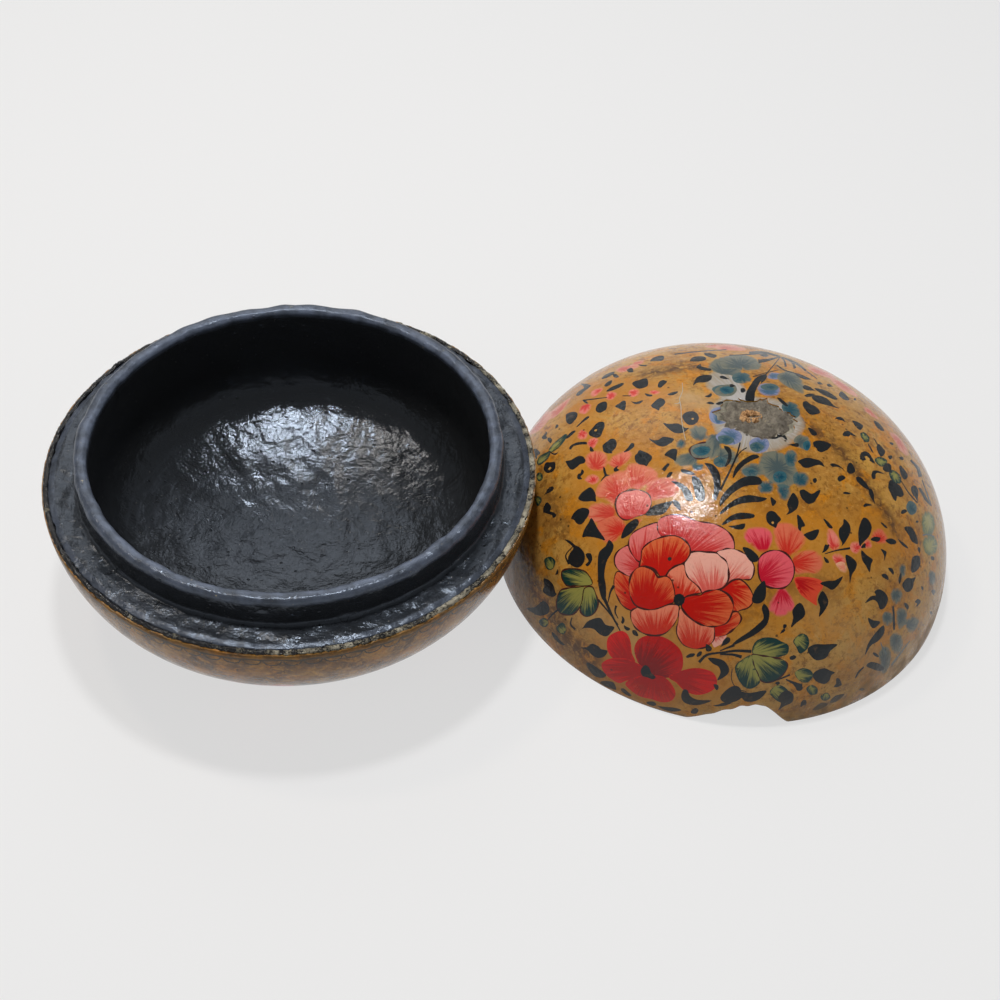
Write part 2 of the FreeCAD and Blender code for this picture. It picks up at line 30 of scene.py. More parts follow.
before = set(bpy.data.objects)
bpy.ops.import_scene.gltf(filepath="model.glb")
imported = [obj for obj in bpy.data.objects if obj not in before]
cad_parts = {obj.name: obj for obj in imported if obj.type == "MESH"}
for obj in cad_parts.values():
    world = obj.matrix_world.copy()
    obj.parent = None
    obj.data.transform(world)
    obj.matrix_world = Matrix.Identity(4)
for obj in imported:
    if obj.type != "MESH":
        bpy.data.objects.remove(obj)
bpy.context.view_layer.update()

# Each petal: paint, whether a dark line goes round it, where its brush strokes start, its outline.
PETALS = [
    ("slate", 0, "6990 4371", "6898 4280 6975 4252 7059 4280 7069 4356 7021 4410 6944 4394 6898 4341"),
    ("tealish", 0, "6814 4440", "6760 4425 6806 4394 6857 4410 6855 4471 6806 4489 6763 4466"),
    ("slate", 0, "6913 4570", "6745 4601 6791 4548 6898 4525 6975 4570 6944 4647 6837 4665 6760 4647"),
    ("tealish", 0, "7204 4601", "7143 4601 7189 4567 7262 4586 7265 4647 7204 4673 7151 4647"),
    ("tealish", 0, "6975 4678", "6921 4662 6975 4629 7036 4647 7028 4696 6967 4711 6926 4696"),
    ("slate", 1, "7021 4509", "6895 4509 6929 4456 7036 4425 7158 4425 7181 4479 7128 4548 7036 4586 6944 "
        "4578"),
    ("teal", 0, "7021 4509", "6932 4509 6975 4476 7051 4466 7097 4494 7066 4540 6990 4552"),
    ("slate", 0, "7174 4371", "7066 4371 7143 4341 7204 4402 7204 4509 7143 4586 7082 4601 7112 4494 7066 "
        "4433"),
    ("slate", 0, "7235 4570", "7174 4509 7265 4479 7357 4525 7388 4616 7296 4647 7204 4601"),
    ("lavender", 1, "7265 4371", "7158 4371 7204 4318 7296 4287 7380 4318 7400 4394 7327 4430 7220 4430"),
    ("lavender", 0, "7174 4203", "7097 4157 7128 4096 7204 4078 7258 4127 7265 4203 7204 4237 7128 4218"),
    ("tealish", 0, "7220 3912", "7128 3889 7204 3854 7311 3859 7350 3905 7296 3951 7189 3951"),
    ("slate", 0, "7250 3698", "7089 3667 7143 3598 7296 3560 7400 3568 7400 3736 7296 3744 7174 3721"),
    ("slate", 0, "7399 3652", "7215 3621 7292 3568 7445 3553 7583 3606 7598 3683 7476 3701 7338 3683 7246 "
        "3683"),
    ("tealish", 0, "7414 3775", "7330 3759 7384 3729 7476 3736 7514 3790 7476 3828 7384 3828 7338 3805"),
    ("slate", 0, "7277 3905", "7169 3882 7246 3851 7338 3854 7361 3905 7307 3955 7200 3955 7154 3928"),
    ("teal", 0, "7261 3900", "7200 3889 7261 3866 7330 3879 7322 3920 7246 3935"),
    ("lavender", 0, "7736 3759", "7675 3752 7720 3722 7812 3736 7820 3778 7751 3797 7682 3782"),
    ("lavender", 0, "7690 3912", "7575 3874 7629 3836 7736 3843 7797 3889 7782 3943 7690 3961 7606 3935"),
    ("tealish", 0, "7705 3874", "7613 3859 7705 3836 7782 3869 7736 3900 7644 3894"),
    ("slate", 0, "7889 3790", "7782 3759 7874 3713 7965 3744 8027 3820 8034 3928 7965 3912 7874 3866 7812 "
        "3828"),
    ("tealish", 0, "7896 4096", "7828 4050 7889 4016 7973 4050 7999 4127 7950 4176 7874 4142 7831 4096"),
    ("lavender", 1, "7307 4356", "7200 4326 7246 4280 7338 4287 7414 4341 7407 4410 7338 4445 7246 4440 "
        "7185 4394"),
    ("tealish", 0, "7261 4402", "7185 4371 7261 4356 7338 4394 7292 4440 7215 4436"),
    ("lavender", 1, "7606 4448", "7491 4425 7552 4379 7644 4371 7693 4433 7667 4502 7590 4528 7514 4502"),
    ("tealish", 0, "7567 4463", "7506 4448 7575 4425 7636 4471 7583 4517 7521 4502"),
    ("slate", 0, "8011 4425", "7942 4402 7996 4353 8072 4364 8106 4433 8072 4502 8011 4486 7965 4463"),
    ("teal", 0, "8072 4456", "8034 4433 8080 4410 8106 4456 8080 4502 8042 4486"),
    ("slate", 0, "7782 4678", "7606 4570 7705 4525 7812 4532 7904 4601 7965 4708 7950 4815 7858 4869 7736 "
        "4831 7644 4754 7601 4662"),
    ("tealish", 0, "7904 4586", "7851 4540 7904 4497 7965 4525 7975 4601 7935 4655 7874 4644"),
    ("slate", 0, "7521 4693", "7407 4693 7460 4644 7567 4635 7629 4685 7613 4754 7506 4773 7430 4747"),
    ("tealish", 0, "7506 4716", "7430 4701 7506 4678 7575 4716 7537 4762 7460 4754"),
    ("tealish", 0, "7659 4877", "7580 4861 7629 4808 7713 4823 7739 4892 7690 4938 7606 4926"),
    ("tealish", 0, "7835 4923", "7763 4884 7812 4846 7889 4869 7907 4945 7866 5007 7805 4984"),
    ("tealish", 0, "8011 4800", "7935 4777 7981 4720 8065 4731 8095 4800 8057 4861 7973 4869"),
    ("teal", 0, "7797 4769", "7736 4754 7782 4716 7851 4731 7858 4792 7805 4823 7751 4808"),
    ("tealish", 0, "7215 4616", "7139 4601 7200 4567 7261 4593 7264 4647 7200 4670 7146 4647"),
    ("green", 0, "8647 4371", "8601 4341 8639 4323 8692 4371 8685 4420 8639 4410"),
    ("green", 0, "8807 4616", "8746 4601 8792 4567 8868 4601 8861 4655 8800 4662"),
    ("green", 0, "8945 4754", "8891 4724 8937 4701 9006 4762 9006 4831 8953 4831 8907 4785"),
    ("green", 0, "9113 5076", "9064 5060 9098 5007 9159 5053 9159 5122 9113 5148 9075 5114"),
    ("greenpale", 0, "9282 5214", "9217 5168 9251 5115 9312 5130 9346 5214 9343 5306 9297 5355 9236 5329 "
        "9217 5245"),
    ("greenpale", 0, "9297 5459", "9228 5413 9266 5367 9343 5367 9374 5444 9358 5528 9297 5554 9243 5505"),
    ("tealish", 0, "9116 5084", "9064 5054 9106 5008 9159 5046 9164 5115 9121 5150 9080 5115"),
    ("slate", 0, "9025 5689", "8988 5689 9006 5643 9044 5640 9061 5696 9044 5765 9006 5773"),
    ("slate", 0, "8960 5949", "8902 5934 8945 5880 9006 5895 9025 5964 8976 6044 8922 6010"),
    ("slate", 0, "8868 6179", "8819 6163 8853 6114 8914 6125 8933 6194 8884 6258 8835 6232"),
    ("slate", 0, "9014 6179", "8960 6163 8976 6094 9044 6084 9071 6148 9052 6240 8999 6289 8968 6240"),
    ("slate", 0, "9098 6248", "9052 6240 9090 6179 9167 6171 9190 6225 9152 6301 9090 6319"),
    ("slate", 0, "8960 6408", "8896 6393 8945 6329 9006 6347 9029 6439 8991 6531 8922 6515"),
    ("slate", 0, "8845 6607", "8789 6531 8838 6469 8899 6500 8907 6607 8868 6714 8815 6730 8800 6638"),
    ("slate", 0, "9312 5765", "9285 5735 9312 5701 9351 5735 9351 5827 9312 5857 9289 5811"),
    ("green", 0, "5536 4479", "5487 4494 5536 4433 5612 4371 5651 4341 5674 4356 5628 4433 5566 4494 5505 "
        "4525"),
    ("green", 0, "5413 4601", "5370 4632 5390 4570 5459 4525 5505 4509 5490 4570 5429 4632 5390 4650"),
    ("green", 0, "5390 4769", "5364 4769 5383 4724 5421 4739 5426 4785 5390 4815"),
    ("green", 0, "5375 4999", "5349 4999 5367 4961 5410 4976 5413 5022 5375 5060"),
    ("rosefar", 0, "5589 4096", "5475 4145 5536 4096 5628 4027 5681 3996 5658 4050 5597 4119 5520 4172"),
    ("rosefar", 0, "5360 4249", "5272 4295 5337 4203 5436 4134 5475 4157 5444 4234 5367 4303 5306 4318"),
    ("rosefar", 0, "6225 3683", "6145 3701 6225 3667 6316 3655 6378 3644 6385 3667 6301 3701 6194 3721"),
    ("rosefar", 0, "6370 3629", "6316 3649 6362 3618 6424 3606 6431 3629 6378 3652"),
    ("rosefar", 0, "7220 3453", "7066 3459 7204 3450 7400 3459 7400 3496 7265 3481 7112 3478"),
    ("rosefar", 0, "7292 3476", "7200 3459 7322 3462 7430 3478 7414 3502 7292 3499 7200 3493"),
    ("rosefar", 0, "8195 3713", "8103 3675 8180 3680 8302 3736 8333 3775 8271 3767 8149 3721"),
    ("rosefar", 0, "8425 3851", "8333 3805 8409 3820 8516 3897 8555 3951 8501 3935 8394 3874"),
    ("rosefar", 0, "8692 4111", "8624 4058 8669 4073 8761 4157 8792 4203 8731 4172 8654 4111"),
    ("rosefar", 0, "8960 4371", "8868 4280 8914 4280 9006 4387 9067 4509 9052 4543 8991 4479 8930 4371"),
    ("bud", 0, "5857 4050", "5788 4127 5804 4065 5842 4042 5911 4047 5895 4104 5842 4142"),
    ("bud", 0, "5980 3912", "5903 3951 5941 3894 6029 3885 5987 3940 5934 3970"),
    ("bud", 0, "6110 3958", "6056 3961 6094 3915 6171 3934 6140 3986 6079 4001"),
    ("bud", 0, "6339 3928", "6283 3946 6309 3894 6390 3894 6385 3946 6324 3970"),
    ("bud", 0, "6531 3928", "6488 3928 6531 3900 6607 3920 6554 3949"),
    ("bud", 0, "5827 4341", "5768 4356 5811 4295 5880 4329 5857 4390 5796 4394"),
    ("bud", 0, "5918 4433", "5869 4433 5915 4379 5987 4394 5946 4476 5895 4476"),
    ("soft", 0, "5957 4647", "5869 4601 5903 4543 5987 4525 6049 4563 6049 4639 5987 4690 5906 4670"),
    ("soft", 0, "6202 4632", "6105 4624 6156 4555 6263 4521 6298 4563 6240 4632 6171 4667"),
    ("bud", 0, "5934 4800", "5845 4800 5911 4742 5983 4762 5987 4815 5926 4846"),
    ("soft", 0, "6179 4923", "5992 4938 6029 4831 6125 4762 6225 4739 6278 4808 6278 4877 6202 4930 6148 "
        "5014 6071 4972"),
    ("soft", 0, "6378 4846", "6283 4724 6329 4659 6439 4670 6535 4724 6535 4788 6454 4835 6378 4874 6313 "
        "4831"),
    ("soft", 0, "6515 4923", "6485 4907 6531 4828 6623 4794 6722 4812 6763 4892 6699 4956 6607 4972 6531 "
        "4987"),
    ("soft", 0, "6110 5137", "5900 5109 5931 5057 6010 5042 6102 5068 6130 5137 6075 5187 5980 5216 5906 "
        "5175"),
    ("softred", 0, "6179 5306", "5977 5279 6071 5211 6171 5187 6229 5245 6212 5314 6151 5386 6071 5404 "
        "6023 5352"),
    ("softred", 0, "6378 5168", "6232 5191 6316 5199 6424 5165 6508 5115 6485 5153 6378 5230 6301 5245"),
    ("rose", 1, "6332 5160", "6153 5045 6186 4953 6270 4907 6378 4897 6477 4935 6512 4999 6508 5063 6469 "
        "5132 6378 5163 6263 5201 6186 5155"),
    ("magenta", 0, "7629 5505", "7442 5329 7506 5279 7613 5272 7697 5306 7723 5383 7693 5478 7616 5523 "
        "7525 5462 7457 5395"),
    ("softred", 0, "7874 5490", "7763 5306 7809 5257 7922 5272 8004 5349 8019 5416 7953 5493 7861 5531 "
        "7794 5462 7769 5383"),
    ("softred", 0, "7981 5628", "7962 5582 8039 5533 8149 5517 8233 5563 8247 5643 8183 5707 8088 5707 "
        "7984 5722 7953 5643"),
    ("scarlet", 0, "7981 5827", "7947 5778 8054 5768 8203 5799 8229 5872 8180 5941 8167 6018 8167 6056 "
        "8103 6018 8011 5949 7961 5860"),
    ("magenta", 0, "7812 5949", "7687 6071 7708 6003 7763 5918 7794 5876 7831 5876 7877 5918 7930 5995 "
        "7938 6071 7877 6136 7797 6166 7720 6125"),
    ("magenta", 1, "7659 5750", "7580 5658 7601 5569 7671 5517 7766 5502 7858 5533 7922 5612 7945 5704 "
        "7915 5811 7843 5876 7751 5883 7659 5860 7595 5784"),
    ("bud", 0, "8333 5444", "8268 5334 8294 5288 8345 5318 8397 5410 8382 5487 8317 5493 8275 5432"),
    ("bud", 0, "8562 5475", "8498 5459 8529 5418 8590 5418 8620 5475 8565 5540 8513 5510"),
    ("bud", 0, "8677 5444", "8636 5439 8674 5386 8718 5426 8712 5478 8662 5487"),
    ("softred", 0, "8800 5383", "8728 5378 8758 5311 8826 5303 8873 5367 8856 5416 8792 5424"),
    ("bud", 0, "8386 5605", "8322 5566 8363 5531 8428 5556 8460 5612 8412 5663 8348 5631"),
    ("softpale", 0, "8432 5674", "8371 5651 8425 5631 8470 5674 8458 5719 8409 5707"),
    ("green", 1, "5918 5827", "5617 5719 5674 5689 5765 5689 5860 5722 5925 5830 5857 5860 5765 5857 5674 "
        "5860 5625 5796"),
    ("green", 1, "5842 5876", "5594 5918 5674 5883 5781 5872 5845 5877 5827 5980 5796 6075 5719 6148 5612 "
        "6136 5563 6059"),
    ("green", 1, "5888 5872", "5842 5888 5921 5869 5960 5949 5983 6041 5937 6136 5857 6166 5801 6105 5824 "
        "5995"),
    ("green", 0, "5528 5674", "5441 5600 5502 5566 5554 5612 5528 5689 5471 5692"),
    ("green", 0, "5651 6339", "5563 6274 5625 6225 5663 6286 5640 6341 5582 6319"),
    ("green", 0, "5459 6225", "5390 6209 5444 6179 5487 6225 5459 6270 5410 6258"),
    ("deep", 0, "6316 6623", "6068 6424 6091 6362 6163 6319 6225 6310 6278 6347 6307 6424 6319 6531 6350 "
        "6623 6225 6626 6125 6580 6076 6508"),
    ("deepdark", 0, "6469 6699", "6344 6515 6355 6439 6408 6378 6500 6352 6623 6367 6730 6424 6809 6508 "
        "6832 6607 6817 6699 6760 6763 6653 6779 6546 6763 6439 6687 6378 6623"),
    ("deep", 0, "6424 6699", "6013 6653 6056 6604 6133 6581 6270 6589 6424 6665 6442 6745 6378 6794 6270 "
        "6806 6194 6832 6117 6794 6053 6740"),
    ("deep", 0, "6531 6776", "6252 6837 6316 6788 6424 6757 6592 6757 6672 6791 6733 6867 6756 6944 6714 "
        "7008 6623 7024 6515 6993 6393 6962 6301 6898"),
    ("deep", 0, "6730 6760", "6714 6745 6822 6704 6929 6681 7036 6688 7131 6727 7171 6806 7146 6886 7051 "
        "6939 6944 6947 6837 6901 6760 6825 6691 6783"),
    ("orange", 1, "6378 6041", "6301 5758 6240 5735 6171 5716 6140 5796 6148 5903 6179 5980 6225 6056 6316 "
        "6105 6401 6079 6385 5918 6362 5811"),
    ("rose", 1, "6362 5658", "6316 5444 6209 5487 6153 5551 6145 5628 6176 5689 6237 5738 6304 5761 6378 "
        "5719 6424 5658 6424 5582 6378 5505"),
    ("rose", 1, "6424 5612", "6577 5227 6497 5245 6405 5283 6329 5329 6290 5398 6290 5475 6329 5554 6385 "
        "5615 6469 5612 6546 5505 6623 5383 6623 5276"),
    ("rose", 1, "6837 5505", "6580 5306 6577 5230 6615 5176 6699 5148 6806 5148 6883 5173 6975 5211 7082 "
        "5227 7174 5250 7265 5303 7322 5367 7345 5444 7330 5505 7235 5551 7112 5582 6975 5566 6867 5520 "
        "6760 5429 6623 5367"),
    ("pale", 1, "7231 5827", "7154 5536 7231 5497 7292 5485 7399 5510 7486 5574 7543 5674 7509 5791 7399 "
        "5791 7307 5814 7246 5876 7139 5872 7108 5704"),
    ("orange", 1, "7277 5903", "7108 5918 7200 5895 7261 5857 7322 5811 7399 5793 7479 5857 7528 5949 7525 "
        "6029 7476 6081 7399 6105 7322 6136 7261 6071"),
    ("orange", 1, "7154 6301", "7093 6209 7200 6194 7292 6133 7353 6114 7391 6133 7414 6186 7384 6248 7322 "
        "6304 7246 6358 7185 6381 7123 6385 7101 6316"),
    ("pale", 0, "7169 6378", "7116 6378 7200 6370 7264 6353 7255 6381 7231 6427 7182 6457 7136 6469"),
    ("coral", 1, "6546 6347", "6316 6105 6385 6071 6469 6056 6623 6056 6745 6041 6794 6075 6779 6166 6730 "
        "6258 6653 6332 6561 6356 6454 6341 6362 6286 6316 6209 6306 6151"),
    ("coral", 1, "6944 6454", "6783 6209 6794 6102 6837 6087 6944 6179 7036 6225 7131 6258 7146 6332 7131 "
        "6411 7051 6473 6944 6488 6837 6450 6776 6362 6765 6286"),
    ("pale", 1, "7097 5903", "7008 5929 6990 5880 6926 5827 6864 5765 6837 5658 6857 5597 6898 5528 6975 "
        "5513 7066 5520 7158 5528 7207 5566 7261 5612 7284 5689 7284 5796 7238 5868 7174 5899 7097 5906"),
    ("orange", 1, "6623 5735", "6610 5768 6577 5735 6531 5689 6469 5661 6396 5669 6411 5582 6424 5490 6500 "
        "5421 6592 5380 6684 5357 6776 5364 6848 5404 6893 5459 6903 5528 6871 5592 6831 5631 6760 5661 "
        "6699 5700 6661 5753"),
    ("coral", 1, "6806 5964", "6661 5762 6699 5701 6760 5658 6837 5643 6855 5719 6886 5781 6947 5834 6993 "
        "5880 7010 5929 6944 5937 6867 5960 6829 5983 6745 5967 6727 5857 6707 5796"),
    ("fire", 1, "6469 6056", "6745 6013 6645 6059 6546 6093 6454 6093 6362 6059 6309 5980 6290 5872 6306 "
        "5765 6355 5693 6424 5663 6492 5678 6546 5724 6577 5768 6607 5768 6661 5762 6710 5796 6733 5857 "
        "6748 5934"),
    ("fire", 1, "6860 6071", "6844 5980 6929 5949 7005 5949 7051 5918 7143 5900 7220 5908 7299 5964 7334 "
        "6056 7314 6148 7268 6228 7189 6258 7097 6266 7005 6243 6913 6189 6844 6120 6814 6056"),
    ("green", 0, "7544 6538", "7518 6515 7549 6424 7629 6378 7736 6378 7812 6413 7884 6454 7877 6534 7812 "
        "6564 7720 6580 7629 6564 7552 6549"),
    ("green", 1, "7529 6546", "7521 6546 7629 6558 7736 6574 7846 6607 7877 6668 7815 6763 7705 6825 7613 "
        "6809 7567 6714 7529 6623"),
    ("green", 0, "7521 6561", "7350 6668 7427 6592 7514 6551 7531 6638 7570 6730 7601 6822 7521 6886 7445 "
        "6871 7381 6791"),
    ("green", 0, "7950 6378", "7932 6408 8008 6336 8076 6362 8092 6439 8060 6503 7996 6534 7962 6469"),
    ("green", 0, "7958 6745", "7947 6730 8027 6681 8106 6704 8131 6760 8076 6825 7996 6809"),
    ("green", 0, "7736 6898", "7697 6913 7782 6849 7874 6895 7892 6975 7812 7024 7733 6978"),
    ("green", 0, "8118 6875", "8062 6886 8118 6849 8175 6883 8167 6939 8103 6947"),
    ("green", 0, "8256 6944", "8207 6959 8271 6926 8305 6975 8256 7008 8218 6998"),
]

# Black leaf marks given by their outlines.
MARKS = [
    "5663 4142 5711 4120 5756 4120 5776 4139 5767 4178 5742 4211 5702 4244 5667 4224 5658 4189",
    "5883 4161 5889 4178 5822 4228 5778 4267 5762 4267 5800 4228 5850 4178",
    "5458 4311 5472 4333 5461 4356 5472 4378 5444 4394 5417 4378 5439 4347 5453 4333",
    "5478 4378 5506 4378 5520 4400 5506 4431 5478 4406",
    "5956 4089 5978 4044 6022 4020 6061 4017 6072 4050 6061 4094 6028 4117 6000 4128 5967 4117",
    "5889 4322 5922 4283 5967 4233 6006 4217 6039 4222 6047 4261 6028 4311 6006 4361 5967 4378 5922 4367 "
        "5894 4350",
    "5733 4306 5756 4311 5728 4344 5678 4383 5656 4383 5689 4339",
    "6028 4489 6028 4450 6067 4417 6111 4387 6150 4394 6169 4433 6156 4478 6122 4517 6122 4533 6072 4533 "
        "6039 4517",
    "6311 4433 6339 4433 6344 4461 6317 4489 6278 4513 6236 4522 6278 4478",
    "5844 4417 5867 4422 5867 4444 5828 4444 5778 4450 5733 4464 5711 4494 5691 4489 5706 4456 5756 4428 "
        "5800 4420",
    "5339 4489 5372 4494 5400 4522 5394 4544 5372 4556 5367 4589 5353 4578 5344 4533",
    "5494 4506 5522 4528 5556 4531 5583 4517 5587 4506 5567 4542 5533 4547 5506 4528",
    "5439 4667 5456 4628 5500 4622 5550 4624 5552 4678 5533 4711 5500 4728 5467 4728 5439 4700",
    "5656 4611 5711 4600 5756 4572 5794 4558 5833 4567 5856 4606 5839 4633 5800 4644 5767 4672 5728 4698 "
        "5694 4683 5667 4639",
    "5817 4694 5839 4711 5833 4739 5806 4767 5822 4789 5783 4794 5769 4767 5783 4739 5806 4728",
    "5783 4978 5822 4922 5867 4889 5900 4872 5933 4894 5958 4944 5958 4983 5961 5017 5922 5011 5856 5017 "
        "5806 5006",
    "5433 5122 5439 5067 5467 5022 5494 5039 5511 5072 5500 5111 5533 5122 5561 5144 5556 5167 5528 5178 "
        "5517 5150 5478 5139 5444 5128",
    "5717 5167 5739 5128 5778 5094 5822 5078 5867 5083 5894 5106 5883 5156 5856 5194 5828 5233 5794 5247 "
        "5761 5228 5739 5200 5711 5189",
    "5433 5789 5478 5794 5522 5833 5544 5878 5552 5922 5567 5944 5533 5969 5489 5961 5444 5933 5428 5900 "
        "5444 5856",
    "5578 5691 5583 5733 5556 5750 5556 5733",
    "5520 6322 5556 6344 5589 6389 5622 6422 5650 6450 5622 6450 5578 6422 5539 6383 5517 6344",
    "6000 6828 6033 6809 6100 6813 6139 6828 6161 6878 6156 6898 6100 6883 6044 6858",
    "6206 6894 6233 6883 6278 6917 6311 6950 6278 6956 6233 6928",
    "6217 6161 6239 6178 6247 6211 6228 6239 6211 6222 6220 6194",
    "6239 6253 6267 6267 6300 6283 6294 6302 6267 6306 6244 6283",
    "6322 6306 6350 6300 6372 6322 6383 6361 6350 6356 6328 6339",
    "5806 3839 5844 3836 5906 3850 5889 3878 5844 3911 5811 3944 5772 3959 5761 3944 5783 3917 5817 3894 "
        "5839 3872",
    "6022 3772 6067 3739 6117 3722 6150 3722 6122 3750 6067 3778 6022 3791",
    "6128 3742 6156 3739 6189 3761 6178 3776 6139 3772",
    "6044 3850 6078 3817 6111 3802 6122 3813 6106 3844 6072 3864 6050 3864",
    "6067 3906 6111 3872 6178 3844 6222 3828 6239 3839 6217 3861 6167 3889 6111 3909 6072 3917",
    "6320 3839 6344 3813 6389 3800 6444 3783 6472 3789 6483 3828 6472 3861 6433 3880 6389 3887 6356 3872",
    "6578 3867 6589 3822 6628 3800 6667 3811 6664 3828 6633 3856 6606 3876",
    "6678 3942 6722 3922 6778 3913 6772 3931 6733 3950 6694 3953",
    "6150 4061 6194 4033 6222 4009 6256 4011 6258 4061 6244 4102 6217 4098 6183 4083",
    "6311 4013 6356 4022 6422 4002 6424 4017 6389 4039 6344 4039",
    "6511 4056 6533 4028 6572 3994 6606 3980 6639 3994 6653 4022 6633 4056 6600 4078 6589 4106 6556 4089 "
        "6528 4078",
    "6450 3933 6489 3942 6522 3950 6517 3964 6478 3964 6456 3950",
    "6500 3611 6522 3583 6578 3561 6622 3556 6644 3572 6622 3606 6567 3611 6522 3613",
    "6633 4228 6689 4239 6767 4233 6811 4250 6850 4278 6889 4278 6878 4294 6839 4322 6800 4333 6744 4328 "
        "6700 4300 6656 4261",
    "6822 4167 6844 4133 6894 4113 6944 4117 6978 4144 6989 4189 6967 4228 6922 4250 6878 4244 6844 4211",
    "6383 3644 6422 3647 6467 3650 6461 3661 6411 3661",
    "6267 3700 6306 3678 6333 3694 6328 3722 6289 3722",
    "5822 4000 5856 4006 5883 4033 5856 4033",
    "6900 3606 6925 3575 6975 3562 7038 3565 7062 3585 7044 3606 6975 3615 6919 3615",
    "7044 3531 7088 3531 7150 3544 7169 3562 7138 3578 7088 3569 7050 3550",
    "6952 3800 6975 3769 7038 3750 7106 3750 7119 3772 7106 3800 7062 3822 7012 3825 6962 3831 6931 3856",
    "6962 3669 7006 3638 7012 3662 7062 3675 7106 3688 7112 3706 7050 3706 6994 3694",
    "7048 3962 7081 3950 7112 3931 7119 3950 7106 3969 7081 3975",
    "7062 4031 7106 4015 7144 4038 7112 4044",
    "7156 4038 7200 4015 7238 4019 7212 4044 7181 4048",
    "7406 3888 7438 3881 7456 3900 7444 3922 7412 3925",
    "7769 3975 7800 3981 7850 4019 7881 4062 7850 4056 7800 4019",
    "7712 4050 7762 4056 7775 4069 7725 4088",
    "8031 4062 8031 4019 8069 4012 8100 4038 8150 4062 8194 4100 8200 4125 8175 4140 8119 4148 8075 4125",
    "8144 3881 8200 3888 8262 3906 8325 3944 8375 3988 8350 3998 8288 3975 8225 3944 8175 3912",
    "8044 3956 8088 3935 8150 3944 8131 3962 8075 3969",
    "8081 4275 8119 4288 8162 4319 8169 4350 8131 4356 8100 4325",
    "7875 4448 7938 4435 7981 4431 7988 4462 7956 4469 7900 4452",
    "8131 4425 8162 4406 8212 4406 8262 4419 8312 4444 8300 4475 8262 4506 8212 4522 8175 4506 8162 4481 "
        "8138 4462",
    "7978 4612 8025 4588 8075 4575 8138 4588 8200 4606 8231 4638 8244 4669 8200 4650 8150 4656 8088 4678 "
        "8038 4675 8006 4644",
    "8344 4194 8375 4175 8419 4181 8450 4219 8412 4200 8375 4190",
    "8431 4338 8456 4319 8500 4338 8494 4362 8456 4362",
    "8375 4781 8400 4756 8444 4775 8438 4794 8406 4812 8381 4806",
    "8131 4788 8162 4781 8169 4812 8150 4831 8131 4819",
    "7994 4912 8031 4894 8062 4906 8119 4938 8175 4906 8206 4900 8194 4938 8169 4981 8138 5025 8081 5040 "
        "8044 5012 8012 4975",
    "7706 4969 7744 4994 7765 5019 7731 5062 7712 5031",
    "7938 3731 7988 3738 8050 3762 8112 3794 8050 3794 7988 3769",
    "8388 3950 8412 3912 8462 3950 8494 4000 8450 4000 8419 3981",
    "7600 3550 7650 3541 7688 3556 7650 3569",
    "7060 6443 7100 6457 7121 6486 7100 6514 7060 6507",
    "6964 6557 6986 6521 7017 6514 7014 6550 6979 6569",
    "6860 6564 6900 6536 6950 6536 6936 6564 6900 6574 6871 6579",
    "6214 6886 6250 6900 6314 6950 6293 6961 6243 6936",
    "6464 7021 6529 7014 6564 7043 6536 7060 6486 7046",
    "6571 7057 6614 7064 6686 7071 6757 7079 6814 7100 6771 7114 6700 7114 6629 7093",
    "6907 7114 6950 7079 6986 7100 6964 7136 6921 7136",
    "7129 7057 7186 7043 7236 7026 7314 7029 7271 7050 7200 7064",
    "7907 6579 7936 6550 7964 6569 7943 6593 7911 6597",
    "7964 6850 8014 6857 8029 6879 8007 6907 7971 6903",
    "7750 6829 7786 6814 7800 6836 7771 6850",
    "8007 7043 8029 7000 8064 7007 8043 7043 8007 7071",
    "7136 6843 7179 6850 7186 6879 7171 6903 7150 6886",
    "6407 6700 6450 6650 6493 6679 6514 6729 6557 6771 6529 6793 6471 6774 6421 6757",
    "8250 5444 8289 5467 8272 5500 8233 5522",
    "8239 5567 8283 5600 8289 5628 8261 5628 8244 5600",
    "8806 5489 8839 5500 8867 5522 8856 5567 8839 5611 8842 5567 8828 5528",
    "8883 5678 8917 5683 8939 5717 8933 5750 8917 5733 8889 5700",
    "8817 5744 8856 5739 8883 5767 8883 5800 8856 5789 8828 5772",
    "9022 5844 9044 5806 9078 5778 9117 5783 9156 5772 9139 5822 9128 5878 9094 5917 9061 5917 9033 5883",
    "9150 6017 9178 5989 9206 6006 9200 6033 9178 6056 9156 6067 9172 6039",
    "9044 6028 9078 6044 9089 6078 9072 6094 9050 6067",
    "9211 5861 9233 5872 9233 5900 9217 5894",
    "8361 6789 8389 6783 8417 6833 8411 6856 8372 6872 8339 6867 8361 6833",
    "8317 6989 8356 6956 8400 6944 8444 6939 8433 6961 8389 7000 8344 7024 8300 7028 8306 7006",
    "8167 7056 8211 7028 8256 7028 8278 7044 8233 7078 8167 7100 8122 7100",
    "8006 7067 8011 7022 8044 7000 8067 7022 8056 7050 8022 7056",
    "8633 6667 8639 6678 8589 6733 8561 6778 8550 6778 8578 6717",
    "8728 6528 8756 6528 8789 6561 8778 6572 8744 6556",
    "8589 6894 8622 6878 8647 6891 8622 6909",
    "7922 6828 7967 6833 8022 6844 8011 6889 7972 6906 7956 6878",
    "7900 6567 7933 6556 7961 6572 7933 6598 7900 6594",
    "9300 6111 9322 6122 9317 6144 9302 6139",
    "9306 5567 9339 5567 9344 5600 9317 5600",
    "8994 5400 9011 5422 9056 5456 9080 5487 9044 5467 9011 5439",
    "8983 5800 8994 5756 9011 5722 9017 5767 9011 5811 8994 5839",
    "8922 6089 8939 6067 8950 6178 8950 6289 8939 6278",
    "8356 4178 8394 4167 8428 4183 8456 4222 8422 4206 8383 4198",
    "8522 4206 8556 4211 8600 4233 8633 4261 8606 4300 8567 4278 8539 4239",
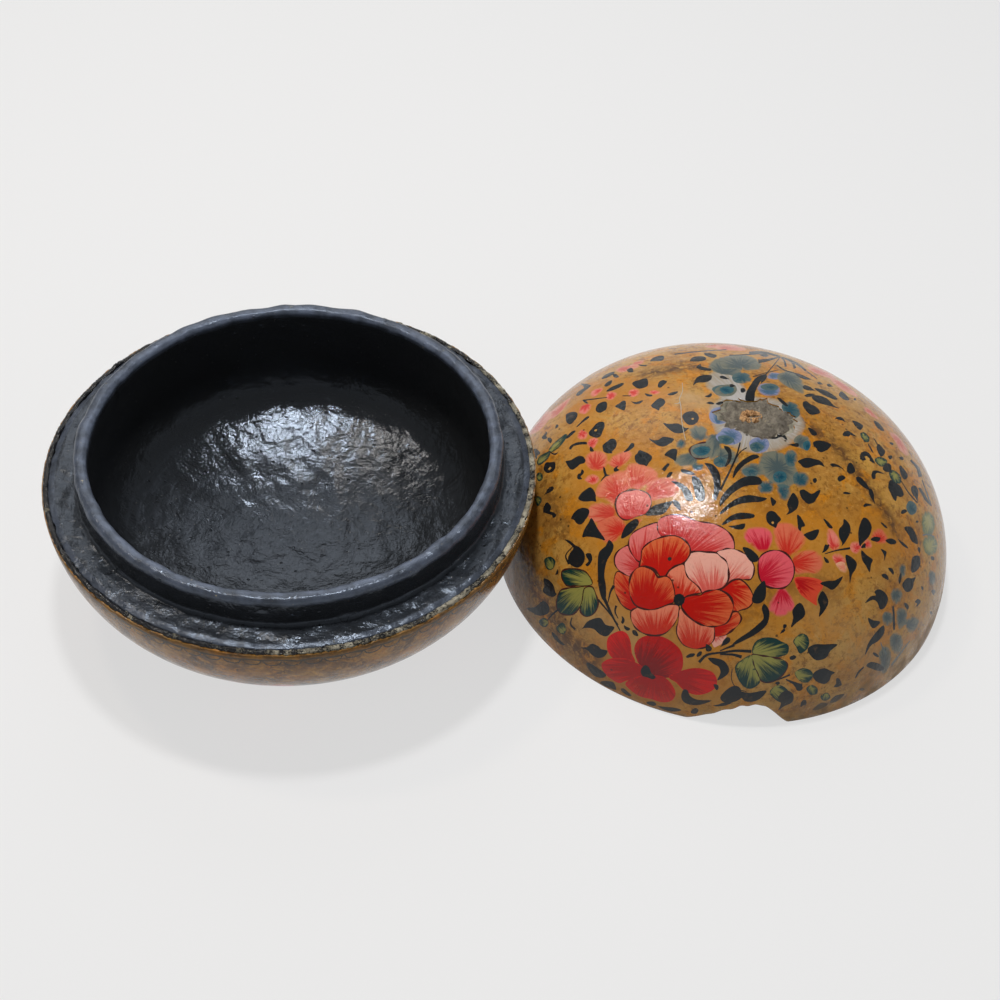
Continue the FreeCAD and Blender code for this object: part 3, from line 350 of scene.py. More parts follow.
    "8739 4206 8778 4222 8817 4261 8844 4306 8811 4306 8772 4278 8747 4239",
    "8428 4339 8450 4311 8489 4311 8533 4339 8567 4367 8500 4350 8461 4364 8433 4358",
    "8678 4433 8706 4467 8728 4511 8733 4533 8711 4506 8689 4472",
    "8767 4456 8789 4439 8822 4472 8853 4517 8833 4556 8806 4567 8783 4528 8769 4489",
    "8733 4378 8747 4389 8778 4439 8769 4447",
    "8894 4422 8933 4433 8928 4450 8906 4444",
    "8600 4578 8606 4533 8644 4513 8689 4528 8722 4578 8750 4633 8717 4622 8678 4589 8672 4561 8644 4567 "
        "8661 4594 8639 4606 8611 4600",
    "8883 4561 8917 4556 8922 4580 8902 4594 8883 4578",
    "8989 4572 9022 4567 9039 4594 9011 4600",
    "8469 4683 8483 4639 8511 4628 8533 4656 8553 4700 8539 4728 8500 4739 8472 4717",
    "8300 4644 8333 4633 8378 4647 8422 4678 8450 4717 8411 4683 8367 4669 8322 4667",
    "8383 4789 8394 4761 8428 4753 8456 4778 8422 4806 8394 4817 8378 4802",
    "8717 4733 8733 4706 8778 4706 8828 4728 8833 4739 8778 4728 8756 4744 8756 4783 8728 4789 8714 4761",
    "8991 4678 9006 4656 9039 4689 9076 4744 9072 4778 9044 4794 9017 4761",
    "8883 4856 8894 4811 8922 4798 8944 4822 9000 4856 9028 4911 9036 4956 9000 4972 8972 4961 8961 5011 "
        "8933 4989 8906 4933 8887 4894",
    "9183 4883 9206 4878 9233 4917 9267 4978 9311 5056 9283 5039 9244 4994 9211 4933",
    "9011 5111 9044 5094 9069 5106 9056 5128 9017 5139",
    "9158 5211 9180 5206 9187 5222 9164 5228",
    "8233 5189 8261 5200 8300 5239 8317 5278 8289 5278 8256 5233",
    "8428 4928 8456 4917 8494 4928 8506 4939 8472 4944 8439 4939",
    "8633 5056 8656 5033 8706 5042 8722 5053 8678 5061 8644 5072",
    "8806 5228 8828 5228 8867 5267 8872 5283 8844 5272",
    "8856 5400 8911 5383 8961 5411 8956 5439 8911 5444 8867 5422",
    "8978 5389 9011 5411 9061 5450 9083 5483 9050 5472 9006 5433",
    "8706 5394 8744 5367 8806 5378 8783 5417 8733 5411",
    "9272 4844 9300 4867 9294 4878",
    "7661 5156 7678 5122 7711 5108 7750 5119 7778 5150 7811 5189 7800 5211 7778 5233 7761 5278 7733 5267 "
        "7700 5250 7667 5211",
    "7972 5148 8000 5161 8022 5194 8052 5250 8039 5267 8017 5272 8006 5311 7983 5289 7978 5256 7972 5206",
    "8239 5189 8261 5200 8294 5233 8328 5272 8311 5286 8289 5267 8267 5233",
    "8283 5444 8294 5461 8261 5506 8222 5530 8228 5511 8252 5478",
    "6350 4556 6372 4533 6394 4500 6428 4511 6472 4528 6517 4561 6517 4594 6494 4622 6467 4661 6439 4650 "
        "6394 4644 6361 4622 6348 4589",
    "6489 4383 6528 4400 6583 4398 6628 4369 6683 4372 6739 4389 6722 4422 6694 4439 6667 4456 6628 4467 "
        "6578 4456 6539 4428 6511 4411",
    "6644 4550 6678 4511 6717 4489 6761 4489 6774 4511 6767 4556 6756 4611 6728 4594 6689 4572",
    "6578 4683 6617 4689 6644 4661 6678 4633 6697 4644 6672 4678 6650 4713 6633 4706 6617 4694",
    "6694 4722 6728 4722 6700 4767 6667 4776 6672 4750",
    "6033 4667 6050 4683 6061 4722 6072 4744 6100 4750 6072 4761 6050 4772 6006 4817 6017 4789 6044 4756 "
        "6033 4717",
    "6183 4656 6172 4683 6194 4700 6161 4717 6139 4711 6141 4683",
    "5900 4467 5917 4472 5939 4506 5928 4517 5900 4511",
    "6722 5011 6756 5000 6794 5028 6806 5067 6806 5106 6778 5089 6744 5056",
    "6806 4694 6850 4694 6906 4711 6950 4739 6928 4750 6883 4744 6828 4728 6811 4711",
    "7453 3974 7468 3912 7514 3836 7570 3771 7659 3741 7601 3820 7555 3912 7546 3974 7537 4013 7498 4022 "
        "7457 4007",
    "8118 3961 8195 3955 8279 3992 8333 4050 8391 4087 8302 4061 8210 4038 8141 4007",
    "7606 4349 7659 4310 7723 4303 7785 4347 7843 4344 7874 4396 7849 4390 7812 4368 7751 4390 7675 4381",
    "7935 4927 7984 4999 7976 5076 7927 5122 7863 5148 7889 5106 7870 5045 7896 4976",
    "7200 4999 7246 4923 7322 4846 7414 4782 7506 4759 7593 4774 7621 4823 7583 4849 7491 4854 7414 4877 "
        "7322 4938 7246 5014 7200 5063",
    "7200 5122 7277 5045 7368 4984 7476 4949 7583 4965 7671 4984 7613 5017 7506 5025 7399 5040 7292 5086 "
        "7215 5140",
    "7215 5247 7292 5167 7399 5126 7534 5141 7534 5178 7430 5193 7338 5201 7261 5239",
    "7326 4773 7353 4678 7430 4598 7537 4543 7595 4570 7521 4604 7445 4650 7384 4711 7341 4773",
    "7238 4460 7299 4476 7319 4555 7295 4632 7243 4675 7273 4601 7281 4540 7258 4502",
    "7048 4632 7128 4644 7192 4724 7209 4831 7192 4923 7158 5002 7132 4972 7140 4877 7125 4769 7079 4681",
    "6918 4766 6990 4782 7047 4907 7039 5002 6972 5002 6941 4907",
    "6711 4812 6806 4828 6901 4907 6932 5002 6864 5002 6818 4907 6760 4849",
    "6451 5148 6531 5060 6623 5030 6727 5011 6687 5076 6638 5137 6546 5155",
    "5918 5181 5980 5291 6053 5401 5980 5383 5923 5372 5865 5367 5822 5370 5845 5291 5885 5230",
    "6358 5187 6390 5230 6335 5309 6274 5360 6214 5386 6221 5329 6267 5245",
    "5647 5398 5700 5407 5753 5452 5799 5475 5845 5536 5845 5605 5814 5658 5765 5677 5704 5646 5678 5589 "
        "5701 5528 5732 5475",
    "5857 5540 5906 5533 5923 5597 5883 5661 5854 5646 5885 5612 5869 5577",
    "6090 5398 6136 5452 6120 5520 6075 5597 6052 5674 6044 5765 6059 5857 6059 5987 6018 5987 5984 5857 "
        "5977 5719 5977 5612 5992 5520 6056 5459",
    "5784 6312 5827 6278 5872 6217 5949 6183 6010 6183 6059 6248 6145 6270 6105 6332 6059 6365 5995 6342 "
        "5934 6289 5842 6281",
    "5807 6477 5872 6469 5918 6436 5983 6462 6013 6492 6076 6508 6044 6564 5980 6580 5918 6549 5872 6500",
    "5862 6627 5918 6642 5983 6684 6061 6745 6029 6779 5949 6763 5892 6702",
    "5263 6079 5352 6071 5432 6007 5494 6071 5478 6136 5398 6159 5326 6128",
    "6811 6959 6837 6895 6878 6906 6901 6959 6978 6998 7117 7005 7005 7047 6898 7047 6834 7016",
    "7079 6581 7158 6581 7238 6607 7285 6668 7285 6730 7223 6783 7171 6802 7204 6730 7186 6668 7132 6638",
    "7201 6975 7265 6898 7342 6857 7403 6883 7418 6975 7327 7024 7242 7024",
    "7281 5260 7353 5253 7450 5234 7433 5291 7368 5294 7327 5279",
    "8039 5344 8103 5314 8192 5295 8160 5383 8103 5404 8054 5367",
    "8440 5188 8496 5245 8504 5321 8458 5413 8414 5464 8421 5429 8391 5367 8391 5291 8429 5245",
    "8631 5178 8685 5199 8718 5276 8688 5367 8627 5429 8598 5464 8582 5367 8590 5276",
    "9041 5276 9113 5269 9162 5352 9179 5439 9121 5416 9087 5352",
    "8455 5548 8519 5574 8567 5628 8558 5689 8519 5750 8498 5839 8490 5719 8467 5643",
    "8613 5502 8669 5551 8728 5597 8711 5643 8697 5724 8659 5658 8620 5597",
    "9126 5574 9193 5563 9202 5658 9147 5722 9110 5707",
    "7427 5471 7506 5490 7586 5566 7572 5615 7506 5615 7450 5536",
    "7647 5808 7662 5903 7647 5995 7583 6036 7518 6013 7541 5918 7595 5842",
    "8200 5834 8271 5808 8348 5804 8429 5762 8389 5842 8325 5899 8268 5872",
    "8226 5908 8282 5995 8275 6056 8226 6133 8189 6166 8200 6071 8177 5995",
    "7996 6026 8045 6087 8045 6163 7965 6228 7909 6275 7932 6179 7924 6102",
    "8651 6029 8705 5964 8758 5952 8743 5918 8792 5892 8856 5931 8881 5995 8849 6075 8800 6093 8774 6026 "
        "8731 5998 8677 6021",
    "8682 6176 8731 6202 8803 6217 8764 6270 8723 6281 8689 6225",
    "8832 6251 8841 6332 8780 6411 8708 6457 8651 6551 8674 6454 8728 6362",
    "8077 6485 8149 6443 8241 6443 8376 6443 8305 6508 8259 6580 8164 6603 8100 6549",
    "7396 6918 7506 6929 7664 6903 7616 6975 7537 7016 7442 7008",
    "7779 6975 7858 6903 7932 6941 7924 7021 7843 7062 7782 7102 7809 7036",
    "7641 6038 7685 6087 7694 6163 7662 6255 7570 6335 7460 6396 7319 6459 7365 6401 7491 6316 7583 6240 "
        "7636 6179 7618 6087",
    "8126 6760 8157 6711 8241 6681 8305 6707 8351 6727 8314 6753 8294 6806 8241 6841 8164 6814",
    "8662 6661 8708 6619 8792 6638 8845 6684 8807 6711 8738 6696",
]

# Black drops: round end, pointed end, width, and how far the point is bent to the side.
DROPS = """
7197 3767 7291 3787 21 0
5579 4246 5551 4290 21 0
5536 4870 5436 4941 34 -12
7212 3767 7295 3793 21 0
7295 3854 7359 3860 24 0
7659 3744 7601 3839 37 -6
8027 3863 8157 3909 34 0
8174 3825 8233 3846 21 0
8268 3845 8336 3869 21 0
8539 3986 8565 4004 18 0
8845 4647 8922 4731 67 0
8562 4769 8731 4926 43 9
9132 4854 9178 5017 52 0
8697 4884 8749 5045 34 0
7299 6378 7201 6473 43 0
8624 5447 8657 5478 46 0
9187 5471 9198 5539 21 0
9331 5895 9340 5957 31 0
7851 6240 7846 6301 28 9
7851 6293 7794 6335 21 -9
"""

# Brush strokes: tone, width at the start and at the end, route.
STROKES = [
    ("black", 34, 12, "6041 5980 6117 6148 6202 6309"),
    ("black", 21, 11, "5980 5995 6071 6102 6182 6248"),
    ("black", 9, 31, "6079 6026 6105 5918 6140 5857"),
    ("black", 8, 24, "6182 6186 6151 6117 6163 6056"),
    ("black", 21, 12, "5600 6084 5536 6133 5475 6202"),
    ("black", 11, 21, "5719 6176 5707 6243 5753 6295"),
    ("black", 31, 15, "6990 6623 7066 6551 7189 6528 7400 6508"),
    ("black", 21, 8, "5689 5643 5658 5551 5735 5459"),
    ("black", 11, 28, "7200 6508 7277 6477 7345 6451"),
    ("black", 21, 31, "7200 6531 7353 6508 7514 6515"),
    ("black", 15, 34, "7200 6543 7322 6546 7417 6570"),
    ("black", 9, 23, "8249 5539 8363 5505 8501 5482"),
    ("black", 12, 46, "7858 6794 7935 6829 8014 6864"),
    ("black", 11, 18, "7659 6825 7782 6794 7901 6748"),
    ("black", 9, 8, "7322 6691 7315 6791 7365 6883 7463 6916"),
    ("black", 24, 14, "7200 4907 7292 4724 7361 4570 7402 4425"),
    ("black", 12, 11, "7335 4624 7399 4525 7468 4476"),
    ("black", 11, 8, "7659 3744 7736 3652 7805 3568"),
    ("black", 9, 8, "7529 3767 7659 3729 7782 3701"),
    ("black", 15, 8, "7805 3568 7659 3537 7476 3545 7292 3553"),
    ("black", 40, 8, "7583 3614 7690 3598 7797 3568"),
    ("black", 28, 8, "7491 3530 7629 3522 7782 3553"),
    ("black", 8, 24, "7809 3576 7843 3606 7858 3667"),
    ("black", 8, 28, "7815 3572 7919 3621 7950 3683"),
    ("black", 8, 21, "7820 3568 7965 3629 8057 3706"),
    ("black", 9, 9, "7874 3591 8027 3683 8172 3790"),
    ("black", 15, 8, "7766 3652 7858 3706 7996 3744"),
    ("black", 14, 8, "5827 4004 5949 3989 6071 3974"),
    ("black", 8, 12, "6225 3958 6301 3958 6301 3951"),
    ("black", 12, 8, "6745 3542 6990 3514 7265 3496"),
    ("black", 8, 9, "8937 6071 8930 6194 8937 6301"),
    ("slate", 21, 8, "8914 6653 9006 6531 9098 6408"),
    ("slate", 18, 8, "8868 6546 8823 6469 8807 6424"),
    ("slate", 15, 12, "9228 5352 9282 5344 9343 5367"),
    ("black", 8, 15, "9006 4800 9083 4923 9175 5030"),
    ("black", 9, 18, "9221 4800 9266 4923 9312 5060"),
    ("black", 21, 40, "9106 4601 9175 4678 9205 4769"),
    ("crack", 12, 15, "6822 3828 6825 3912 6794 3989 6809 4065 6814 4172 6829 4280 6855 4402"),
    ("crack", 18, 6, "6806 4019 6776 4035 6745 4035"),
]

# Dots: tone, centre, radius.
DOTS = [
    ("black", "6791 5998", 58),
    ("ink", "6696 5589", 20),
    ("gap", "5957 4303", 15),
    ("gap", "5497 4685", 18),
    ("gap", "6926 4188", 12),
    ("gap", "8682 4589", 20),
    ("gap", "7728 5227", 12),
]

# The knob's paste: its outline round the broken peg.
PASTE = (
    "7246 4157 7277 4050 7368 4004 7460 4019 7552 4012 7644 3989 7705 4035 7797 4081 7873 4127 7919 4203 "
    "7889 4280 7812 4341 7705 4372 7583 4372 7476 4341 7384 4295 7292 4280"
)

# Paints by name: the colour where the brush starts, and the colour at the outline.
PAINTS = {
    # The crown's pale patch: flaked ground, partly a painted sheen.
    "crust_and_sheen": ((178, 174, 170), (158, 146, 128)),
    "slate": ((70, 84, 86), (112, 114, 100)),
    "tealish": ((34, 74, 88), (78, 100, 100)),
    "teal": ((14, 66, 86), (50, 94, 104)),
    # Lavender: pale blue petals near the crown, partly their own colour and partly a painted sheen.
    "lavender": ((66, 96, 122), (126, 134, 166)),
    "green": ((150, 146, 74), (14, 54, 50)),
    "greenpale": ((162, 156, 96), (96, 112, 82)),
    "rosefar": ((198, 92, 72), (214, 144, 118)),
    "bud": ((205, 50, 45), (226, 128, 112)),
    "soft": ((200, 62, 48), (218, 122, 94)),
    "softred": ((198, 46, 32), (214, 108, 78)),
    "softpale": ((220, 130, 102), (228, 168, 134)),
    "rose": ((196, 50, 48), (222, 118, 112)),
    "magenta": ((190, 20, 45), (222, 90, 100)),
    "scarlet": ((180, 14, 18), (214, 72, 45)),
    "deep": ((178, 8, 2), (218, 18, 6)),
    "deepdark": ((134, 8, 4), (188, 14, 6)),
    "orange": ((188, 22, 8), (214, 104, 58)),
    "pale": ((214, 90, 78), (232, 168, 150)),
    "coral": ((200, 45, 25), (226, 128, 98)),
    "fire": ((186, 20, 6), (214, 98, 55)),
}
# Paints whose touching petals make up one flower or leaf. Every other paint counts as pink.
FAMILIES = {
    "crust_and_sheen": ("crust_and_sheen",),
    "red": ("deep", "deepdark"),
    "green": ("green", "greenpale", "bud"),
    "blue": ("teal", "tealish", "lavender", "slate"),
}
# Paints with a wide soft edge, and paints with a narrow one where no line goes round them.
FEATHERED = ("soft", "softred", "softpale", "rosefar", "crust_and_sheen")
BLURRED = ("slate", "tealish", "teal", "lavender", "greenpale", "bud", "magenta", "rose")
UNLINED = ("lavender", "tealish", "teal")
# How far along its brush stroke a paint keeps its first colour.
REACHES = {
    "fire": 0.82,
    "orange": 0.8,
    "pale": 0.42,
    "coral": 0.62,
    "green": 0.58,
    "soft": 0.6,
    "deep": 0.75,
    "crust_and_sheen": 0.7,
}
PLAIN_REACH = 0.57
# The flaked patch round the paste: pale grey flaked ground that is partly a painted sheen on the lid's crown.
CRUST_AND_SHEEN = (
    "7160 3820 7280 3760 7420 3860 7520 3980 7680 4000 7840 4080 7930 4200 7870 4310 7760 4390 "
    "7600 4430 7440 4410 7280 4340 7210 4240 7170 4080 7250 4000 7150 3920"
)
TONES = {
    "black": (30, 33, 35),
    "ink": (52, 44, 38),
    "line": (66, 30, 26),
    "gap": (196, 146, 72),
    "slate": (98, 110, 110),
    "crack": (168, 162, 146),
}

# How the ornament is drawn. Lengths are millimetres on the map.
FEATHERED_GROWTH, BLURRED_GROWTH = 0.3, 0.07  # how much larger a petal with a soft edge is than its outline
FEATHERED_EDGE, BLURRED_EDGE, CRUST_AND_SHEEN_EDGE = 0.7, 0.45, 1.4  # how wide the soft edge is
BRUSH_BACK = 0.9  # how far behind its start a brush stroke's lines meet, as a share of the petal
LINE_WIDTH = 0.46
ROUNDEST = 1.4  # how many times as long as wide a petal near the lid's horizon may be
DROP_SWELL, DROP_LEAST = 1.3, 16
CRACK_WIDTH = 0.5
DOT_SCALE = 2.9
GOLDEN = 0.618
# Turns in degrees by which ornament is copied to the lid's far side, and the room that each copy keeps.
FAR_TURNS = (180, 138, -130, 160, -155, 115, -108, 171, -171)
FAR_ROOM = 0.9
PETAL_GAP, MARK_GAP = 0.3, 0.05
EDGE_ROOM = 0.4  # how far the ornament keeps from the lid's edge
LID_SPACING, BASE_SPACING = 1.5, 2.4  # between the corners of the painted skins' outer sides
BACK_SPACING = 6.0  # between the corners of their inner sides
MERGED = 0.004  # corners of an outer side that are nearer than this become one
SLIVER = 1e-7  # a triangle whose double area is less is left out
BEYOND = 0.995  # crossings from this share of a brush line on lie beyond the point that is painted
HIDDEN = 18  # a place on the lid is hidden where its outward millimetre and the line to the eye give less

# Lengths and turned outlines, as in the solids
METRE = 0.001
OUTER = 80.0
LEDGE = 47.2
FOOT = 26.0
PAINT_COAT = 0.5
COATS = 2.0
LACQUER = 0.6
NECK = 68.2
STRIP = 3.3
SEAT = 35.2
NECK_TOP = 57.7
NECK_ROUND = 1.1
FLOOR = 8.0
LID_X = 149.6
LID_HEIGHT = 61.2
MOUTH = 69.15
MOUTH_DEEP = 12.5
LID_HOLLOW_TOP = 53.2
PEG = 3.0
CHIP_TURN = math.radians(-92.9)
CHIP_LEFT, CHIP_RIGHT, CHIP_HIGH, CHIP_DEEP = 22.0, 11.5, 9.8, 8.5
# The shoulder arc's radius as a share of the outline's rise
LID_SHOULDER, LID_HOLLOW_SHOULDER = 0.9, 0.8
BASE_SHOULDER, BASE_HOLLOW_SHOULDER = 0.943, 0.66

# The photograph's view
FOCAL = 1474.414
DISTANCE = 541.983
ELEVATION = math.radians(46.191)
AZIMUTH = math.radians(-8.164)
ROLL = math.radians(3.844)
TARGET = np.array([72.853, 24.232, 0])
MIDDLE = 500
TENTHS = 0.1
SIGHT_STEPS = (380.0, 720.0, 1.0)  # a line of sight is followed between these distances, by this step
TINY = 1e-12  # stands in for nothing where a sum divides


def view_axes():
    """The camera's right, up and backward directions, and its place."""
    back = np.array(
        [
            math.sin(AZIMUTH) * math.cos(ELEVATION),
            -math.cos(AZIMUTH) * math.cos(ELEVATION),
            math.sin(ELEVATION),
        ]
    )
    level = np.array([math.cos(AZIMUTH), math.sin(AZIMUTH), 0])
    rise = np.cross(level, -back)
    right = math.cos(ROLL) * level + math.sin(ROLL) * rise
    up = math.cos(ROLL) * rise - math.sin(ROLL) * level
    return right, up, back, TARGET + DISTANCE * back


RIGHT, UP, BACK, EYE = view_axes()


def sight(pixels):
    """Unit lines of sight through places in the picture."""
    across = pixels[:, 0] - MIDDLE
    down = pixels[:, 1] - MIDDLE
    lines = -BACK * FOCAL + across[:, None] * RIGHT - down[:, None] * UP
    return lines / np.linalg.norm(lines, axis=1)[:, None]


def ripple(points, size, seed, count=24):
    """A smooth random height of about unit spread, with lumps about size apart."""
    source = np.random.RandomState(seed)
    ways = source.normal(size=(count, points.shape[-1]))
    ways /= np.linalg.norm(ways, axis=1)[:, None]
    ways *= 2 * math.pi / size * source.uniform(0.7, 1.4, count)[:, None]
    shifts = source.uniform(0, 2 * math.pi, count)
    return np.cos(points @ ways.T + shifts).sum(axis=-1) * math.sqrt(2 / count)


def ring(turns):
    """Unit steps in directions."""
    return np.stack([np.cos(turns), np.sin(turns)], axis=-1)


def round_turns(count, start=-math.pi):
    """Evenly spaced directions once round, from a start direction."""
    return np.linspace(start, start + 2 * math.pi, count + 1)[:-1]


def turning(angle):
    """The matrix that turns rows of places by an angle."""
    return np.array([[math.cos(angle), math.sin(angle)], [-math.sin(angle), math.cos(angle)]])


def turned_from(turn, middle):
    """How far directions are turned from a middle direction: from minus half a turn to half a turn."""
    return (turn - middle + math.pi) % (2 * math.pi) - math.pi


def circle(turns, radius, height, middle=0.0):
    """Points round an upright axis that stands at x = middle."""
    across, ahead = middle + radius * np.cos(turns), radius * np.sin(turns)
    return np.stack(np.broadcast_arrays(across, ahead, height), axis=-1)


class Oval:
    """A turned outline of two arcs: a shoulder that leaves its springing upright, and a crown over the axis.

    way is 1 for a dome and -1 for a bowl. Places on it are a direction, a run from the pole and a depth.
    """

    def __init__(self, radius, springing, rise, shoulder, way, middle=0.0):
        self.springing = springing
        self.shoulder = shoulder
        self.way = way
        self.middle = middle
        self.wide = radius - shoulder
        self.crown = (self.wide**2 + rise**2 - shoulder**2) / (rise - shoulder) / 2
        self.low = springing + way * (rise - self.crown)
        self.bend = math.atan2(self.wide, self.crown - rise)
        self.bend_run = self.crown * self.bend
        self.reach = self.bend_run + shoulder * (math.pi / 2 - self.bend)

    def section(self, run, depth):
        """Distance from the axis and height."""
        crowned = run < self.bend_run
        lean = np.where(crowned, run / self.crown, self.bend + (run - self.bend_run) / self.shoulder)
        radius = np.where(
            crowned, (self.crown - depth) * np.sin(lean), self.wide + (self.shoulder - depth) * np.sin(lean)
        )
        height = np.where(
            crowned,
            self.low + self.way * (self.crown - depth) * np.cos(lean),
            self.springing + self.way * (self.shoulder - depth) * np.cos(lean),
        )
        return radius, height

    def place(self, turn, run, depth=0.0):
        """Points in space at a direction, a run and a depth."""
        radius, height = self.section(run, depth)
        return circle(turn, radius, height, self.middle)

    def from_map(self, spots, depth=0.0):
        """Points in space under places on the map."""
        across, ahead = spots[..., 0], spots[..., 1]
        return self.place(np.arctan2(ahead, across), np.hypot(across, ahead), depth)

    def find(self, points):
        """Direction, run and depth of points in space."""
        east = points[..., 0] - self.middle
        radius = np.hypot(east, points[..., 1])
        lean = np.arctan2(radius, (points[..., 2] - self.low) * self.way)
        out = radius - self.wide
        climb = (points[..., 2] - self.springing) * self.way
        crowned = lean < self.bend
        run = np.where(
            crowned, lean * self.crown, self.bend_run + (np.arctan2(out, climb) - self.bend) * self.shoulder
        )
        depth = np.where(
            crowned,
            self.crown - np.hypot(radius, points[..., 2] - self.low),
            self.shoulder - np.hypot(out, climb),
        )
        return np.arctan2(points[..., 1], east), run, depth

    def cast(self, tenths):
        """Places on the map where lines of sight meet the outside."""
        lines = sight(tenths * TENTHS)
        steps = np.arange(*SIGHT_STEPS)
        points = EYE + lines[:, None, :] * steps[None, :, None]
        depth = self.find(points)[2]
        first = np.argmax(depth > 0, axis=1)
        missed = ~(depth > 0).any(axis=1)
        first[missed] = np.argmax(depth[missed], axis=1)
        rows = np.arange(len(lines))
        before, after = depth[rows, np.maximum(first - 1, 0)], depth[rows, first]
        share = np.where(missed, 1.0, after / np.maximum(after - before, 1e-9))
        length = steps[first] - np.clip(share, 0, 1) * (~missed)
        turn, run, _ = self.find(EYE + lines * length[:, None])
        run = np.clip(run, 0, self.reach - EDGE_ROOM)
        return run[:, None] * ring(turn)


LID = Oval(OUTER, 0.0, LID_HEIGHT, LID_HEIGHT * LID_SHOULDER, 1, LID_X)
LID_HOLLOW_RISE = LID_HOLLOW_TOP - MOUTH_DEEP
LID_HOLLOW = Oval(
    MOUTH + LACQUER, MOUTH_DEEP, LID_HOLLOW_RISE, LID_HOLLOW_RISE * LID_HOLLOW_SHOULDER, 1, LID_X
)


def bowl_outside():
    """The base's outside: its crown arc is cut flat by the ground in the foot."""
    shoulder = LEDGE * BASE_SHOULDER
    wide = OUTER - shoulder
    rest = wide**2 + LEDGE**2 - FOOT**2 - shoulder**2
    square = 4 * (LEDGE**2 - shoulder**2)
    middle = -4 * rest * LEDGE
    last = rest**2 - 4 * shoulder**2 * FOOT**2
    centre = (-middle + math.sqrt(middle**2 - 4 * square * last)) / (2 * square)
    return Oval(OUTER, LEDGE, LEDGE + math.hypot(FOOT, centre) - centre, shoulder, -1)


BASE = bowl_outside()
BASE_HOLLOW = Oval(NECK - STRIP, SEAT, SEAT - FLOOR, (SEAT - FLOOR) * BASE_HOLLOW_SHOULDER, -1)


def numbers(text):
    """Places from a row of numbers."""
    values = np.array([float(word) for word in text.split()])
    return values.reshape(-1, 2)


def catmull(before, start, end, after, cuts):
    """Places between starts and ends on smooth curves that also heed the neighbours."""
    shares = (np.arange(cuts) / cuts)[:, None, None]
    return 0.5 * (
        2 * start
        + (end - before) * shares
        + (2 * before - 5 * start + 4 * end - after) * shares**2
        + (3 * start - before - 3 * end + after) * shares**3
    )


def smooth_loop(points, cuts):
    """A closed smooth curve through points."""
    parts = catmull(np.roll(points, 1, 0), points, np.roll(points, -1, 0), np.roll(points, -2, 0), cuts)
    return parts.transpose(1, 0, 2).reshape(-1, 2)


def smooth_route(points, cuts):
    """An open smooth curve through points."""
    ends = np.vstack([2 * points[0] - points[1], points, 2 * points[-1] - points[-2]])
    parts = catmull(ends[:-3], ends[1:-2], ends[2:-1], ends[3:], cuts)
    return np.vstack([parts.transpose(1, 0, 2).reshape(-1, 2), points[-1]])


def side_steps(points, closed):
    """Unit steps to the left of a curve at each of its points."""
    if closed:
        along = np.roll(points, -1, 0) - np.roll(points, 1, 0)
    else:
        along = np.gradient(points, axis=0)
    along /= np.maximum(np.linalg.norm(along, axis=1), 1e-9)[:, None]
    return np.stack([-along[:, 1], along[:, 0]], axis=-1)


class Motif:
    """A patch of paint on a map: its loops, where its brush strokes start, its two colours and its edge."""

    def __init__(self, loops, start, colours, feather=0.0, seed=0.0, reach=PLAIN_REACH, family=None):
        self.loops = loops
        self.start = start
        self.colours = colours
        self.feather = feather
        self.seed = seed
        self.reach = reach
        self.family = family

    def moved(self, change):
        """A copy with all its places changed."""
        start = None if self.start is None else change(self.start[None])[0]
        loops = [change(loop) for loop in self.loops]
        return Motif(loops, start, self.colours, self.feather, self.seed, self.reach, self.family)

    def low(self):
        """The low corner of its box."""
        return np.min([loop.min(axis=0) for loop in self.loops], axis=0)

    def high(self):
        """The high corner of its box."""
        return np.max([loop.max(axis=0) for loop in self.loops], axis=0)


def is_inside(loops, points):
    """Whether points lie inside the loops, by the even-odd rule."""
    result = np.zeros(len(points), bool)
    for loop in loops:
        start, end = loop, np.roll(loop, -1, axis=0)
        run = end - start
        level = (start[:, 1] > points[:, 1:2]) != (end[:, 1] > points[:, 1:2])
        rise = np.where(np.abs(run[:, 1]) < TINY, TINY, run[:, 1])
        cross = start[:, 0] + run[:, 0] * (points[:, 1:2] - start[:, 1]) / rise
        result ^= (level & (points[:, 0:1] < cross)).sum(axis=1) % 2 == 1
    return result


def run_distance(starts, runs, points):
    """How far points lie from the nearest of straight runs."""
    away = points[:, None, :] - starts[None]
    share = (away * runs).sum(-1) / np.maximum((runs * runs).sum(-1), TINY)
    away -= np.clip(share, 0, 1)[..., None] * runs
    return np.sqrt((away**2).sum(-1)).min(axis=1)


def edge_distance(loop, points):
    """How far points lie from a loop."""
    return run_distance(loop, np.roll(loop, -1, axis=0) - loop, points)


def brush_share(loop, start, points):
    """How far along its brush stroke each point lies: 0 where the stroke starts, 1 at the outline."""
    ways = points - start
    corners, run = loop, np.roll(loop, -1, axis=0) - loop
    lead = corners - start
    cross = ways[:, 0:1] * run[:, 1] - ways[:, 1:2] * run[:, 0]
    cross = np.where(np.abs(cross) < TINY, TINY, cross)
    reach = (lead[:, 0] * run[:, 1] - lead[:, 1] * run[:, 0]) / cross
    along = (lead[:, 0] * ways[:, 1:2] - lead[:, 1] * ways[:, 0:1]) / cross
    hit = (along >= -1e-6) & (along <= 1 + 1e-6) & (reach > 0)
    last = np.where(hit & (reach > BEYOND), reach, np.inf).min(axis=1)
    first = np.where(hit & (reach < BEYOND), reach, 0.0).max(axis=1)
    return np.where(np.isfinite(last), (1 - first) / np.maximum(last - first, 1e-6), 1.0)


def linear(colour):
    """Linear light of a colour written in 0 to 255."""
    shares = np.array(colour) / 255
    return tuple(np.where(shares <= 0.04045, shares / 12.92, ((shares + 0.055) / 1.055) ** 2.4))


